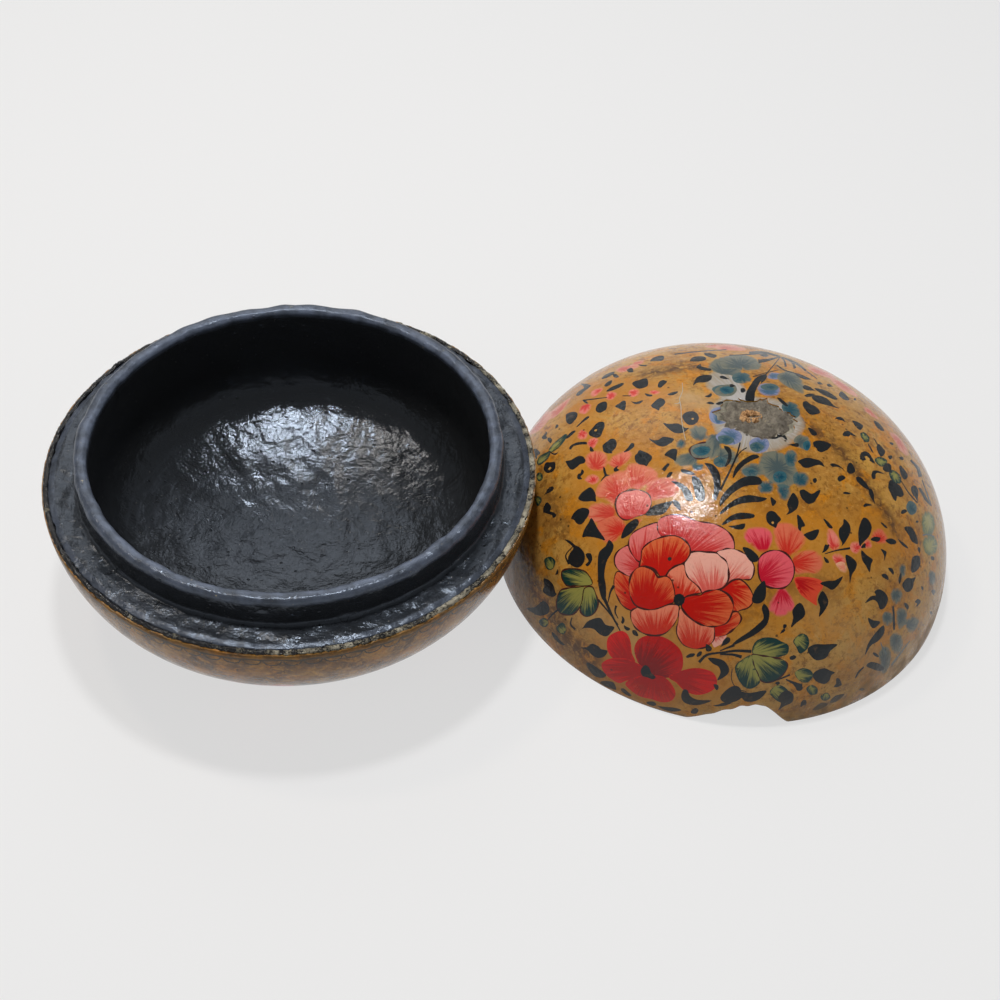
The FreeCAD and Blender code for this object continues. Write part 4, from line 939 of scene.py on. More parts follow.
def outline_ribbon(loop, width, seed):
    """A thin uneven line along a loop."""
    sides = side_steps(loop, True)
    half = width / 2 * (1 + 0.35 * ripple(loop, 5.0, seed))[:, None]
    return [loop + sides * half, loop - sides * half]


def stroke_loop(route, widths):
    """A brush stroke along a route, with its width at each point."""
    sides = side_steps(route, False)
    half = widths[:, None] / 2
    return np.vstack([route + sides * half, (route - sides * half)[::-1]])


def drop_loop(round_end, point_end, width, hook):
    """A drop that a loaded brush leaves: round where it is put down, pointed where it is lifted."""
    along = point_end - round_end
    length = np.linalg.norm(along)
    along = along / length
    side = np.array([-along[1], along[0]])
    shares = np.array([0, 0.06, 0.18, 0.36, 0.55, 0.71, 0.85, 1.0])
    spread = np.array([0.0, 0.62, 0.96, 1.0, 0.82, 0.46, 0.22, 0.03])
    bend = hook * shares**2
    middle = round_end + along * (shares * length)[:, None] + side * bend[:, None]
    half = (spread * width / 2)[:, None]
    return np.vstack([middle + side * half, (middle - side * half)[::-1][1:]])


def shortened(loop, begin):
    """A petal near the lid's horizon, drawn in from its far end where the view stretches it too much."""
    middle = loop.mean(axis=0)
    _, _, ways = np.linalg.svd(loop - middle)
    along, across = (loop - middle) @ ways[0], (loop - middle) @ ways[1]
    ratio = np.ptp(along) / max(np.ptp(across), 1e-6)
    if ratio < ROUNDEST:
        return loop, begin
    far = np.linalg.norm(LID.from_map(loop) - EYE, axis=1)
    near_end = along[np.argmin(far)]
    scale = ROUNDEST / ratio

    def change(spots):
        run = (spots - middle) @ ways[0]
        return spots + np.outer((near_end - run) * (1 - scale), ways[0])

    return change(loop), change(begin[None])[0]


def flat_motif(loops, tone):
    """A motif of one even colour."""
    colour = linear(TONES[tone])
    return Motif(loops, None, (colour, colour))


def lid_motifs():
    """All the ornament that the photograph shows on the lid, in the order in which it was painted."""
    motifs = []
    for index, (paint, lined, start, outline) in enumerate([("crust_and_sheen", False, "7500 4120", CRUST_AND_SHEEN)] + PETALS):
        loop = smooth_loop(LID.cast(numbers(outline)), 4)
        begin = LID.cast(numbers(start))[0]
        if paint.startswith("soft") or paint == "rosefar":
            loop, begin = shortened(loop, begin)
        if paint in FEATHERED:
            loop = loop + (loop - loop.mean(axis=0)) * FEATHERED_GROWTH
        elif paint in BLURRED and not lined:
            loop = loop + (loop - loop.mean(axis=0)) * BLURRED_GROWTH
        begin = begin - (loop.mean(axis=0) - begin) * BRUSH_BACK
        lined = lined and paint not in UNLINED
        feather = 0.0
        if paint == "crust_and_sheen":
            feather = CRUST_AND_SHEEN_EDGE
        elif paint in FEATHERED:
            feather = FEATHERED_EDGE
        elif paint in BLURRED and not lined:
            feather = BLURRED_EDGE
        colours = tuple(linear(colour) for colour in PAINTS[paint])
        reach = REACHES.get(paint, PLAIN_REACH)
        family = next((name for name, paints in FAMILIES.items() if paint in paints), "pink")
        motifs.append(Motif([loop], begin, colours, feather, index * GOLDEN % 1, reach, family))
        if lined:
            motifs.append(flat_motif(outline_ribbon(loop, LINE_WIDTH, index), "line"))
    for outline in MARKS:
        motifs.append(flat_motif([smooth_loop(LID.cast(numbers(outline)), 3)], "black"))
    for line in DROPS.strip().split("\n"):
        values = np.array([float(word) for word in line.split()])
        loop = drop_loop(values[0:2], values[2:4], max(values[4] * DROP_SWELL, DROP_LEAST), values[5])
        motifs.append(flat_motif([LID.cast(smooth_loop(loop, 2))], "black"))
    for tone, wide_start, wide_end, route in STROKES:
        smooth = smooth_route(numbers(route), 4)
        widths = np.linspace(wide_start, wide_end, len(smooth))
        if tone == "crack":
            widths = widths * CRACK_WIDTH
        motifs.append(flat_motif([LID.cast(stroke_loop(smooth, widths))], tone))
    for tone, centre, radius in DOTS:
        middle = LID.cast(numbers(centre))[0]
        motifs.append(flat_motif([middle + ring(round_turns(10, 0)) * radius * TENTHS / DOT_SCALE], tone))
    return motifs


def turned_about(motif, angle):
    """A copy of a motif, turned about the pole."""
    return motif.moved(lambda spots: spots @ turning(angle))


def faces_away(spots):
    """Whether places on the lid's map can't be seen in the photograph."""
    points = LID.from_map(spots)
    outward = points - LID.from_map(spots, 1.0)
    return ((outward * (EYE - points)).sum(-1) < HIDDEN).all()


def near_boxes(motif, others, gap):
    """Which of the others have a box that comes within the gap of the motif's box."""
    low, high = motif.low() - gap, motif.high() + gap
    return [other for other in others if (other.low() < high).all() and (other.high() > low).all()]


def touches(one, other, gap):
    """Whether two motifs overlap or lie within the gap of each other."""
    ends, far = one.loops[0], other.loops[0]
    if is_inside([far], ends).any() or is_inside([ends], far).any():
        return True
    return edge_distance(far, ends).min() < gap


def sprays(motifs):
    """The ornament in groups: petals of one family that touch, with the lines and marks on them."""
    petals = [motif for motif in motifs if motif.family not in (None, "crust_and_sheen")]
    groups = []
    for petal in petals:
        joined = [petal]
        for group in list(groups):
            kin = [other for other in near_boxes(petal, group, PETAL_GAP) if other.family == petal.family]
            if any(touches(petal, other, PETAL_GAP) for other in kin):
                groups.remove(group)
                joined = group + joined
        groups.append(joined)
    owner = {id(petal): number for number, group in enumerate(groups) for petal in group}
    singles = []
    for motif in motifs:
        if motif.family is None:
            hosts = [petal for petal in near_boxes(motif, petals, 0.0) if touches(motif, petal, MARK_GAP)]
            if hosts:
                groups[owner[id(hosts[-1])]].append(motif)
            else:
                singles.append([motif])
    places = {id(motif): place for place, motif in enumerate(motifs)}
    groups = [sorted(group, key=lambda motif: places[id(motif)]) for group in groups]

    def span(group):
        high = np.max([motif.high() for motif in group], axis=0)
        return (high - np.min([motif.low() for motif in group], axis=0)).max()

    return sorted(groups, key=span, reverse=True) + singles


def lid_far_side(motifs):
    """Turned copies of whole flowers, leaves and marks, laid out of the camera's sight where room is."""
    copies, placed, groups = [], list(motifs), sprays(motifs)
    for degrees in FAR_TURNS:
        for group in groups:
            turned = [turned_about(motif, math.radians(degrees)) for motif in group]
            if not all(faces_away(copy.loops[0]) for copy in turned):
                continue
            near = [(copy, other) for copy in turned for other in near_boxes(copy, placed, FAR_ROOM)]
            if any(touches(copy, other, FAR_ROOM) for copy, other in near):
                continue
            copies += turned
            placed += turned
    return copies


# Meshes

def loop_edges(count, first=0):
    """The edges of a closed loop of count corners, which are numbered from first."""
    return [(first + index, first + (index + 1) % count) for index in range(count)]


def double_area(corners, triangles):
    """Twice the area of each triangle, and less than nothing for one that runs clockwise."""
    first, second, third = (corners[triangles[:, index]] for index in range(3))
    return (second - first)[:, 0] * (third - first)[:, 1] - (second - first)[:, 1] * (third - first)[:, 0]


def triangulated(spots, edges, fine=1e-7):
    """Triangles between spots that keep the edges and run anticlockwise: their corners and corner numbers."""
    result = geometry.delaunay_2d_cdt([Vector(spot) for spot in spots], edges, [], 0, fine)
    corners = np.array([vertex[:] for vertex in result[0]])
    triangles = np.array([face for face in result[2] if len(face) == 3])
    return corners, np.where(double_area(corners, triangles)[:, None] > 0, triangles, triangles[:, ::-1])


def nearest_of(spots, places):
    """The number of the spot that is nearest to each place, and how far away it is."""
    tree = kdtree.KDTree(len(spots))
    for index, spot in enumerate(spots):
        tree.insert((*spot, 0), index)
    tree.balance()
    found = [tree.find((*place, 0)) for place in places]
    return np.array([index for _, index, _ in found]), np.array([away for _, _, away in found])


def cut_map(loops, spacing, reach, inner=0.0):
    """Triangles over a map that keep every loop as edges: their corners and their corner numbers."""
    rows = np.arange(-reach, reach, spacing * math.sqrt(3) / 2)
    grid = []
    for index, height in enumerate(rows):
        shift = spacing / 2 if index % 2 else 0
        columns = np.arange(-reach + shift, reach, spacing)
        grid.append(np.stack([columns, np.full_like(columns, height)], axis=-1))
    grid = np.vstack(grid)
    run = np.hypot(grid[:, 0], grid[:, 1])
    grid = grid[(run < reach - spacing * 0.4) & (run > inner)]
    points, edges = [], []
    for loop in loops:
        edges.extend(loop_edges(len(loop), len(points)))
        points.extend(loop.tolist())
    corners, triangles = triangulated(points + grid.tolist(), edges, MERGED)
    return corners, triangles[double_area(corners, triangles) > SLIVER]


def kept_within(corners, triangles, rim, holes):
    """Only the triangles inside the rim and outside the holes."""
    middles = corners[triangles].mean(axis=1)
    keep = is_inside([rim], middles)
    for hole in holes:
        keep &= ~is_inside([hole], middles)
    return triangles[keep]


def border(triangles):
    """The edges with a triangle on one side only, in the direction in which the triangle runs."""
    pairs = np.vstack([triangles[:, [0, 1]], triangles[:, [1, 2]], triangles[:, [2, 0]]])
    ordered = np.sort(pairs, axis=1)
    _, index, count = np.unique(ordered, axis=0, return_index=True, return_counts=True)
    return pairs[index[count == 1]]


def paint_corners(corners, triangles, motifs):
    """Which paint each corner of each triangle has: colour with cover, colour at the edge, and brush."""
    middles = corners[triangles].mean(axis=1)
    owner = np.full(len(triangles), -1)
    under = np.zeros(len(triangles), bool)
    for index, motif in enumerate(motifs):
        low, high = motif.low(), motif.high()
        near = np.flatnonzero((middles >= low).all(axis=1) & (middles <= high).all(axis=1))
        if len(near):
            inside = near[is_inside(motif.loops, middles[near])]
            under[inside] = owner[inside] >= 0
            owner[inside] = index
    count = len(triangles)
    begin = np.zeros((count, 3, 4))
    finish = np.zeros((count, 3, 4))
    brush = np.zeros((count, 3, 3))
    for index in np.unique(owner[owner >= 0]):
        motif = motifs[index]
        mine = np.flatnonzero(owner == index)
        spots = corners[triangles[mine]].reshape(-1, 2)
        cover = np.ones(len(spots))
        share = np.full(len(spots), 0.5)
        across = np.zeros(len(spots))
        if motif.start is not None:
            loop = motif.loops[0]
            share = brush_share(loop, motif.start, spots)
            main = loop.mean(axis=0) - motif.start
            ways = spots - motif.start
            turn = turned_from(np.arctan2(ways[:, 1], ways[:, 0]), math.atan2(main[1], main[0]))
            across = turn * np.linalg.norm(loop - motif.start, axis=1).mean()
        if motif.feather:
            cover = np.clip(edge_distance(motif.loops[0], spots) / motif.feather, 0, 1) ** 0.8
            cover = np.where(np.repeat(under[mine], 3), 1.0, cover)
        begin[mine, :, :3] = motif.colours[0]
        finish[mine, :, :3] = motif.colours[1]
        begin[mine, :, 3] = cover.reshape(-1, 3)
        finish[mine, :, 3] = motif.reach
        seeds = np.full(len(spots), motif.seed * 40)
        brush[mine] = np.stack([share, across, seeds], axis=-1).reshape(-1, 3, 3)
    return begin.reshape(-1, 4), finish.reshape(-1, 4), brush.reshape(-1, 3)


def crossings(across, ahead):
    """The places where the lines of a grid cross."""
    return np.stack(np.meshgrid(across, ahead), axis=-1).reshape(-1, 2)


def placed(name, data):
    """A new object with the data, in the scene."""
    thing = bpy.data.objects.new(name, data)
    bpy.context.scene.collection.objects.link(thing)
    return thing


def make_mesh(name, points, faces, smooth=None):
    """An object at the origin from points in millimetres. smooth says which faces are shaded smooth."""
    mesh = bpy.data.meshes.new(name)
    mesh.from_pydata((points * METRE).tolist(), [], [list(map(int, face)) for face in faces])
    flags = np.ones(len(mesh.polygons), bool) if smooth is None else smooth
    mesh.polygons.foreach_set("use_smooth", flags)
    mesh.update()
    return placed(name, mesh)


def dress(piece, material, body, nodes):
    """Gives a piece its material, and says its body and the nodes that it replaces."""
    piece.data.materials.append(material)
    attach(piece, body)
    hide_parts(*nodes)


def write_values(piece, name, kind, domain, values):
    """An attribute of a mesh, with its values for the points or the face corners."""
    layer = piece.data.attributes.new(name, kind, domain)
    field = {"FLOAT_COLOR": "color", "FLOAT_VECTOR": "vector", "FLOAT": "value"}[kind]
    layer.data.foreach_set(field, np.ascontiguousarray(values, dtype=np.float32).ravel())


def stack_skin(oval, corners, triangles, rim, hole):
    """A painted skin of even thickness over a map: its outer triangles, an inner side, and joining walls."""
    edges = border(triangles)
    used, linked = np.unique(edges, return_inverse=True)
    linked = linked.reshape(edges.shape)
    reach = np.hypot(*rim.T).max() + BACK_SPACING
    rows = np.arange(-reach, reach, BACK_SPACING)
    grid = crossings(rows, rows)
    keep = is_inside([rim], grid) & (edge_distance(rim, grid) > BACK_SPACING / 2)
    keep &= ~is_inside([hole], grid) & (edge_distance(hole, grid) > BACK_SPACING / 2)
    linked_pairs = [tuple(edge) for edge in linked.tolist()]
    back, inner = triangulated(np.vstack([corners[used], grid[keep]]), linked_pairs)
    count = len(corners)
    inner = kept_within(back, inner, rim, [hole])[:, ::-1] + count
    match = nearest_of(back, corners[used])[0] + count
    walls = []
    for (a, b), (c, d) in zip(edges.tolist(), match[linked].tolist()):
        walls += [(a, d, b), (a, c, d)]
    points = np.vstack([oval.from_map(corners), oval.from_map(back, PAINT_COAT)])
    faces = np.vstack([triangles, inner, np.array(walls)])
    if oval.way < 0:
        faces = faces[:, ::-1]
    smooth = np.arange(len(faces)) < len(triangles) + len(inner)
    return points, faces, smooth, len(triangles)


def lathe(points, start_pole=None, end_pole=None):
    """Faces of a turned mesh whose points run [turn, row]. Poles close its ends, or its rows wrap round."""
    turns, rows = points.shape[:2]
    wrap = start_pole is None
    next_turn = (np.arange(turns) + 1) % turns
    faces = []
    last = rows if wrap else rows - 1
    for row in range(last):
        ahead = (row + 1) % rows
        here, there = np.arange(turns) * rows, next_turn * rows
        faces.append(np.stack([here + row, here + ahead, there + ahead, there + row], -1))
    flat = points.reshape(-1, 3)
    faces = [tuple(face) for face in np.vstack(faces)]
    if not wrap:
        first, end = len(flat), len(flat) + 1
        flat = np.vstack([flat, start_pole, end_pole])
        for turn in range(turns):
            after = int(next_turn[turn])
            faces.append((first, turn * rows, after * rows))
            faces.append((end, after * rows + rows - 1, turn * rows + rows - 1))
    return flat, faces


# Materials

class Shader:
    """A node material: each method adds a node and gives its output."""

    def __init__(self, name):
        self.material = bpy.data.materials.new(name)
        self.material.use_nodes = True
        self.tree = self.material.node_tree
        self.tree.nodes.clear()
        self.space = self.add("ShaderNodeTexCoord").outputs["Object"]

    def add(self, kind, **settings):
        """A new node with its settings."""
        node = self.tree.nodes.new(kind)
        for name, value in settings.items():
            setattr(node, name, value)
        return node

    def feed(self, socket, value):
        """Gives a socket a value, or joins it to another node's output."""
        if isinstance(value, bpy.types.NodeSocket):
            self.tree.links.new(value, socket)
        else:
            socket.default_value = value

    def noise(self, size, detail=3.0, rough=0.55, space=None, warp=0.0):
        """Noise from 0 to 1 with lumps of a size in millimetres, or of 1 unit where a space is given."""
        node = self.add("ShaderNodeTexNoise")
        self.feed(node.inputs["Vector"], self.space if space is None else space)
        self.feed(node.inputs["Scale"], 1 / (size * METRE) if space is None else 1 / size)
        self.feed(node.inputs["Detail"], detail)
        self.feed(node.inputs["Roughness"], rough)
        self.feed(node.inputs["Distortion"], warp)
        return node.outputs["Fac"]

    def cells(self, size):
        """The distance to the nearest of scattered places, about size millimetres apart."""
        node = self.add("ShaderNodeTexVoronoi")
        self.feed(node.inputs["Vector"], self.space)
        self.feed(node.inputs["Scale"], 1 / (size * METRE))
        return node.outputs["Distance"]

    def maths(self, operation, first, second=0.0):
        node = self.add("ShaderNodeMath", operation=operation)
        self.feed(node.inputs[0], first)
        self.feed(node.inputs[1], second)
        return node.outputs[0]

    def span(self, value, low, high, start=0.0, end=1.0):
        """value from low to high, smoothly sent to start to end."""
        node = self.add("ShaderNodeMapRange", interpolation_type="SMOOTHSTEP")
        self.feed(node.inputs["Value"], value)
        self.feed(node.inputs["From Min"], low)
        self.feed(node.inputs["From Max"], high)
        self.feed(node.inputs["To Min"], start)
        self.feed(node.inputs["To Max"], end)
        return node.outputs["Result"]

    def blend(self, share, first, second):
        """Two colours mixed by the share of the second."""
        node = self.add("ShaderNodeMix", data_type="RGBA", clamp_factor=True)
        self.feed(node.inputs[0], share)
        for socket, value in ((node.inputs[6], first), (node.inputs[7], second)):
            self.feed(socket, (*linear(value), 1) if isinstance(value, tuple) else value)
        return node.outputs[2]

    def value(self, name, output="Fac"):
        return self.add("ShaderNodeAttribute", attribute_name=name).outputs[output]

    def parts(self, vector):
        node = self.add("ShaderNodeSeparateXYZ")
        self.feed(node.inputs[0], vector)
        return node.outputs

    def joined(self, *values):
        node = self.add("ShaderNodeCombineXYZ")
        for socket, value in zip(node.inputs, values):
            self.feed(socket, value)
        return node.outputs[0]

    def bump(self, height, depth, normal=None):
        """A bump whose height of 1 stands depth millimetres high."""
        node = self.add("ShaderNodeBump")
        self.feed(node.inputs["Height"], height)
        self.feed(node.inputs["Distance"], depth * METRE)
        self.feed(node.inputs["Strength"], 1.0)
        if normal is not None:
            self.feed(node.inputs["Normal"], normal)
        return node.outputs[0]

    def finish(self, colour, roughness, normal=None, **fixed):
        """The material with its colour, roughness and normal, and fixed values by name."""
        surface = self.add("ShaderNodeBsdfPrincipled")
        self.feed(surface.inputs["Base Color"], colour)
        self.feed(surface.inputs["Roughness"], roughness)
        if normal is not None:
            self.feed(surface.inputs["Normal"], normal)
        for name, value in fixed.items():
            surface.inputs[name.replace("_", " ")].default_value = value
        return self.close(surface)

    def close(self, surface):
        """Sends a shader node to the material's output, and gives the material."""
        out = self.add("ShaderNodeOutputMaterial")
        self.feed(out.inputs[0], surface.outputs[0])
        return self.material


def painted_material(name):
    """Painted and varnished paper: an ochre ground with ornament, stains, darkening towards the edges and
    fine cracks; on the base the brown and the darkening are painted shade.
    """
    make = Shader(name)
    cloud = make.noise(22.0, 4.0, 0.6)
    broad = make.noise(55.0, 3.0, 0.5)
    fine = make.noise(3.2, 5.0, 0.65)
    grain = make.noise(0.9, 4.0, 0.7)
    amber = make.noise(9.0, 4.0, 0.6, warp=0.6)
    mottled = make.noise(4.2, 5.0, 0.7, warp=0.4)
    ground = make.blend(make.span(cloud, 0.38, 0.62), (164, 110, 36), (194, 146, 64))
    ground = make.blend(make.span(broad, 0.42, 0.7, 0.0, 0.6), ground, (194, 153, 84))
    ground = make.blend(make.span(amber, 0.5, 0.62, 0.0, 0.8), ground, (200, 126, 16))
    ground = make.blend(make.span(mottled, 0.52, 0.66, 0.0, 0.85), ground, (126, 80, 32))
    ground = make.blend(make.span(fine, 0.4, 0.7, 0.0, 0.4), ground, (172, 116, 46))
    speckle = make.noise(1.7, 5.0, 0.75, warp=0.3)
    ground = make.blend(make.span(speckle, 0.52, 0.66, 0.0, 0.72), ground, (104, 68, 28))
    ground = make.blend(make.span(speckle, 0.46, 0.34, 0.0, 0.5), ground, (212, 164, 88))
    ground = make.blend(make.span(grain, 0.56, 0.78, 0.0, 0.45), ground, (96, 66, 34))
    # Ground values: brown and tan stains, an amber glow near red petals, and darkening towards the edges; on
    # the base the brown and the darkening are painted shade.
    stain_and_shade = make.add("ShaderNodeAttribute", attribute_name="ground_stain_and_shade")
    brown, tan, glow = make.parts(stain_and_shade.outputs["Vector"])
    edge_darkening = stain_and_shade.outputs["Alpha"]
    ground = make.blend(make.maths("MULTIPLY", glow, 0.75), ground, (186, 122, 36))
    tanned = make.maths("MULTIPLY", tan, make.span(fine, 0.2, 0.6, 0.5, 1.0))
    ground = make.blend(tanned, ground, (182, 146, 94))
    # Brown: stains on the lid; on the base it browns the whole outside as painted shade.
    stained_and_shaded = make.maths("MULTIPLY", brown, make.span(make.noise(2.6, 5.0, 0.75, warp=0.5), 0.34, 0.58))
    ground = make.blend(stained_and_shaded, ground, (92, 62, 34))
    brush = make.parts(make.value("paint_brush", "Vector"))
    lanes = make.joined(
        make.maths("MULTIPLY", brush[0], 0.8), make.maths("MULTIPLY", brush[1], 1.35), brush[2]
    )
    streak = make.noise(1.0, 4.0, 0.75, space=lanes)
    start = make.add("ShaderNodeAttribute", attribute_name="paint_start")
    finish = make.add("ShaderNodeAttribute", attribute_name="paint_finish")
    drift = make.maths("MULTIPLY", make.maths("SUBTRACT", streak, 0.5), 2.3)
    drift = make.maths("SUBTRACT", drift, finish.outputs["Alpha"])
    share = make.span(make.maths("ADD", brush[0], drift), -0.3, 0.3)
    paint = make.blend(share, start.outputs["Color"], finish.outputs["Color"])
    paint = make.blend(make.span(grain, 0.5, 0.8, 0.0, 0.18), paint, (60, 36, 22))
    paint = make.blend(make.span(fine, 0.58, 0.8, 0.0, 0.12), paint, (214, 156, 92))
    worn = make.span(make.noise(1.7, 5.0, 0.72), 0.68, 0.78, 1.0, 0.35)
    cover = make.maths("MULTIPLY", start.outputs["Alpha"], worn)
    colour = make.blend(cover, ground, paint)
    # Darkening towards the rims, and on the base also at the foot; on the base all of it is painted shade.
    edge_patches = make.noise(4.0, 5.0, 0.7, warp=0.5)
    edge_darkened = make.maths("MULTIPLY", edge_darkening, make.span(edge_patches, 0.25, 0.75, 0.45, 1.0))
    colour = make.blend(make.maths("MULTIPLY", edge_darkened, 0.85), colour, (98, 77, 46))
    specks = make.span(make.cells(7.0), 0.05, 0.075, 1.0, 0.0)
    colour = make.blend(make.maths("MULTIPLY", specks, 0.8), colour, (46, 32, 20))
    rough = make.span(fine, 0.3, 0.75, 0.08, 0.24)
    rough = make.maths("ADD", rough, make.maths("MULTIPLY", edge_darkening, 0.3))
    height = make.maths("ADD", make.noise(6.5, 3.0, 0.5), make.maths("MULTIPLY", fine, 0.22))
    normal = make.bump(height, 0.3)
    normal = make.bump(make.noise(1.5, 3.0, 0.6), 0.13, normal)
    normal = make.bump(make.maths("ADD", make.maths("MULTIPLY", cover, 0.4), grain), 0.04, normal)
    return make.finish(
        colour, rough, normal, Specular_IOR_Level=0.34, Specular_Tint=(0.88, 0.94, 1.0, 1.0)
    )


def lacquer_material(name):
    """Black lacquer: glossy and lumpy inside, rubbed and dusty where the zone value is 1, where its bluish
    grey partly is a painted sheen; a painted highlight on worn edges.
    """
    make = Shader(name)
    zone = make.value("dust_and_sheen_zone")
    lumps = make.noise(5.0, 4.0, 0.55)
    small = make.noise(1.3, 4.0, 0.6)
    tiny = make.noise(0.35, 3.0, 0.6)
    lanes = make.noise(1.0, 4.0, 0.6, space=make.value("brush_lane", "Vector"))
    # Dust lifts the black to a bluish grey on the hollow's floor, the neck and the ledge: partly real dust,
    # partly a painted sheen of light from above and behind.
    dust_and_sheen = make.maths("MULTIPLY", zone, make.span(make.noise(7.0, 5.0, 0.75), 0.3, 0.66, 0.45, 1.0))
    pits = make.span(make.noise(3.4, 5.0, 0.75, warp=0.6), 0.6, 0.64, 0.0, 0.95)
    colour = make.blend(make.maths("MULTIPLY", dust_and_sheen, 0.9), (30, 31, 32), (46, 50, 56))
    # Rubbed streaks along the brush lanes in a lighter bluish grey, partly a painted sheen.
    rubbed_streaks_and_sheen = make.maths("MULTIPLY", zone, make.span(lanes, 0.5, 0.7, 0.0, 0.5))
    colour = make.blend(rubbed_streaks_and_sheen, colour, (70, 74, 82))
    colour = make.blend(make.maths("MULTIPLY", pits, zone), colour, (12, 12, 13))
    specks = make.span(make.cells(2.1), 0.06, 0.11, 1.0, 0.0)
    specks = make.maths("MULTIPLY", specks, make.span(lumps, 0.45, 0.62, 0.0, 0.9))
    bareness = make.maths("ADD", make.maths("MULTIPLY", zone, 0.75), 0.08)
    specks = make.maths("MULTIPLY", specks, bareness)
    colour = make.blend(specks, colour, (150, 146, 136))
    wear_and_highlight = make.value("edge_wear_and_highlight")
    # Painted highlight: bluish white along the neck's top edges and the ledge's rounded edge.
    crest_highlight = make.maths("MULTIPLY", wear_and_highlight, make.span(lumps, 0.3, 0.65, 0.15, 0.5))
    colour = make.blend(crest_highlight, colour, (126, 138, 162))
    worn = make.maths("MULTIPLY", wear_and_highlight, make.span(make.noise(2.2, 5.0, 0.7), 0.66, 0.72, 0.0, 0.9))
    colour = make.blend(worn, colour, (176, 164, 128))
    rough = make.maths("ADD", make.span(lanes, 0.3, 0.75, 0.1, 0.17), make.maths("MULTIPLY", dust_and_sheen, 0.14))
    rough = make.maths("ADD", rough, make.maths("MULTIPLY", wear_and_highlight, 0.16))
    normal = make.bump(make.noise(11.0, 4.0, 0.6, warp=0.5), 0.75)
    normal = make.bump(lumps, 0.42, normal)
    normal = make.bump(lanes, 0.05, normal)
    normal = make.bump(small, 0.12, normal)
    pimples = make.span(make.cells(5.5), 0.02, 0.11, 1.0, 0.0)
    normal = make.bump(pimples, 0.3, normal)
    normal = make.bump(tiny, 0.02, normal)
    return make.finish(
        colour,
        rough,
        normal,
        Specular_IOR_Level=0.6,
        Specular_Tint=(0.7, 0.82, 1.0, 1.0),
    )


def chalk_material(name):
    """Chalk ground: cream and powdery, with dirt in its pits and black lacquer where the coat value is 1."""
    make = Shader(name)
    small = make.noise(1.1, 5.0, 0.65)
    broad = make.noise(4.0, 4.0, 0.6)
    colour = make.blend(make.span(broad, 0.35, 0.65), (122, 118, 104), (176, 170, 152))
    colour = make.blend(make.span(small, 0.52, 0.7, 0.0, 0.75), colour, (92, 82, 66))
    black = make.value("lacquered")
    broken = make.maths("SUBTRACT", make.noise(0.8, 5.0, 0.8), 0.5)
    patch = make.maths("ADD", black, make.maths("MULTIPLY", broken, 2.6))
    over = make.span(patch, 0.34, 0.6)
    colour = make.blend(over, colour, (24, 25, 28))
    normal = make.bump(small, 0.35)
    normal = make.bump(over, 0.12, normal)
    rough = make.maths("SUBTRACT", 0.85, make.maths("MULTIPLY", over, 0.6))
    return make.finish(colour, rough, normal, Specular_IOR_Level=0.4)


def pulp_material(name):
    """Pressed paper pulp: grey-brown with fibres."""
    make = Shader(name)
    fibre = make.noise(0.8, 6.0, 0.75, warp=2.5)
    broad = make.noise(6.0, 4.0, 0.6)
    colour = make.blend(make.span(broad, 0.3, 0.7), (92, 82, 68), (140, 128, 106))
    colour = make.blend(make.span(fibre, 0.5, 0.7, 0.0, 0.7), colour, (176, 166, 142))
    colour = make.blend(make.span(make.noise(2.2, 4.0, 0.6), 0.55, 0.72, 0.0, 0.7), colour, (62, 56, 48))
    normal = make.bump(fibre, 0.4)
    return make.finish(colour, make.span(fibre, 0.3, 0.7, 0.8, 0.95), normal, Specular_IOR_Level=0.3)


def paste_material(name):
    """Grey bedding paste, cracked and crumbly."""
    make = Shader(name)
    small = make.noise(0.7, 5.0, 0.7)
    broad = make.noise(3.5, 4.0, 0.6)
    colour = make.blend(make.span(broad, 0.35, 0.65), (112, 105, 95), (146, 138, 124))
    colour = make.blend(make.span(small, 0.52, 0.7, 0.0, 0.8), colour, (70, 64, 56))
    colour = make.blend(make.span(make.noise(1.6, 4.0, 0.6), 0.6, 0.7, 0.0, 0.7), colour, (176, 164, 136))
    normal = make.bump(make.noise(2.6, 4.0, 0.65), 0.7)
    normal = make.bump(small, 0.6, normal)
    return make.finish(colour, 0.88, normal, Specular_IOR_Level=0.3)


def wood_material(name):
    """The broken peg: torn tan wood with its grain upright."""
    make = Shader(name)
    x, y, z = make.parts(make.space)
    stretched = make.joined(x, y, make.maths("MULTIPLY", z, 0.15))
    grain = make.noise(0.0006, 5.0, 0.7, space=stretched)
    colour = make.blend(make.span(grain, 0.35, 0.65), (140, 96, 56), (224, 180, 130))
    # Painted shade: the hollow in the break darkened to near black.
    colour = make.blend(make.value("hollow"), colour, (34, 24, 16))
    normal = make.bump(grain, 0.3)
    return make.finish(colour, make.span(grain, 0.3, 0.7, 0.65, 0.85), normal, Specular_IOR_Level=0.3)


# The lid's painted skin

def chip_height(turn, depth):
    """How high the chip in the lid's rim reaches at a depth under the outside."""
    away = turned_from(turn, CHIP_TURN) * OUTER
    share = np.minimum(np.abs(away) / np.where(away < 0, CHIP_LEFT, CHIP_RIGHT), 1)
    bell = (1 - share**1.6) ** 1.25
    left = np.sqrt(np.maximum(1 - (depth / CHIP_DEEP) ** 2, 0))
    torn = 1 + 0.03 * ripple(np.stack([away, 0 * away + depth * 1.5], axis=-1), 5.0, 11)
    return CHIP_HIGH * bell * left * torn


def lid_rim():
    """The lid's edge on the map, with the chip."""
    turns = round_turns(FINE_ROUND)
    return (LID.reach - chip_height(turns, 0.0))[:, None] * ring(turns)


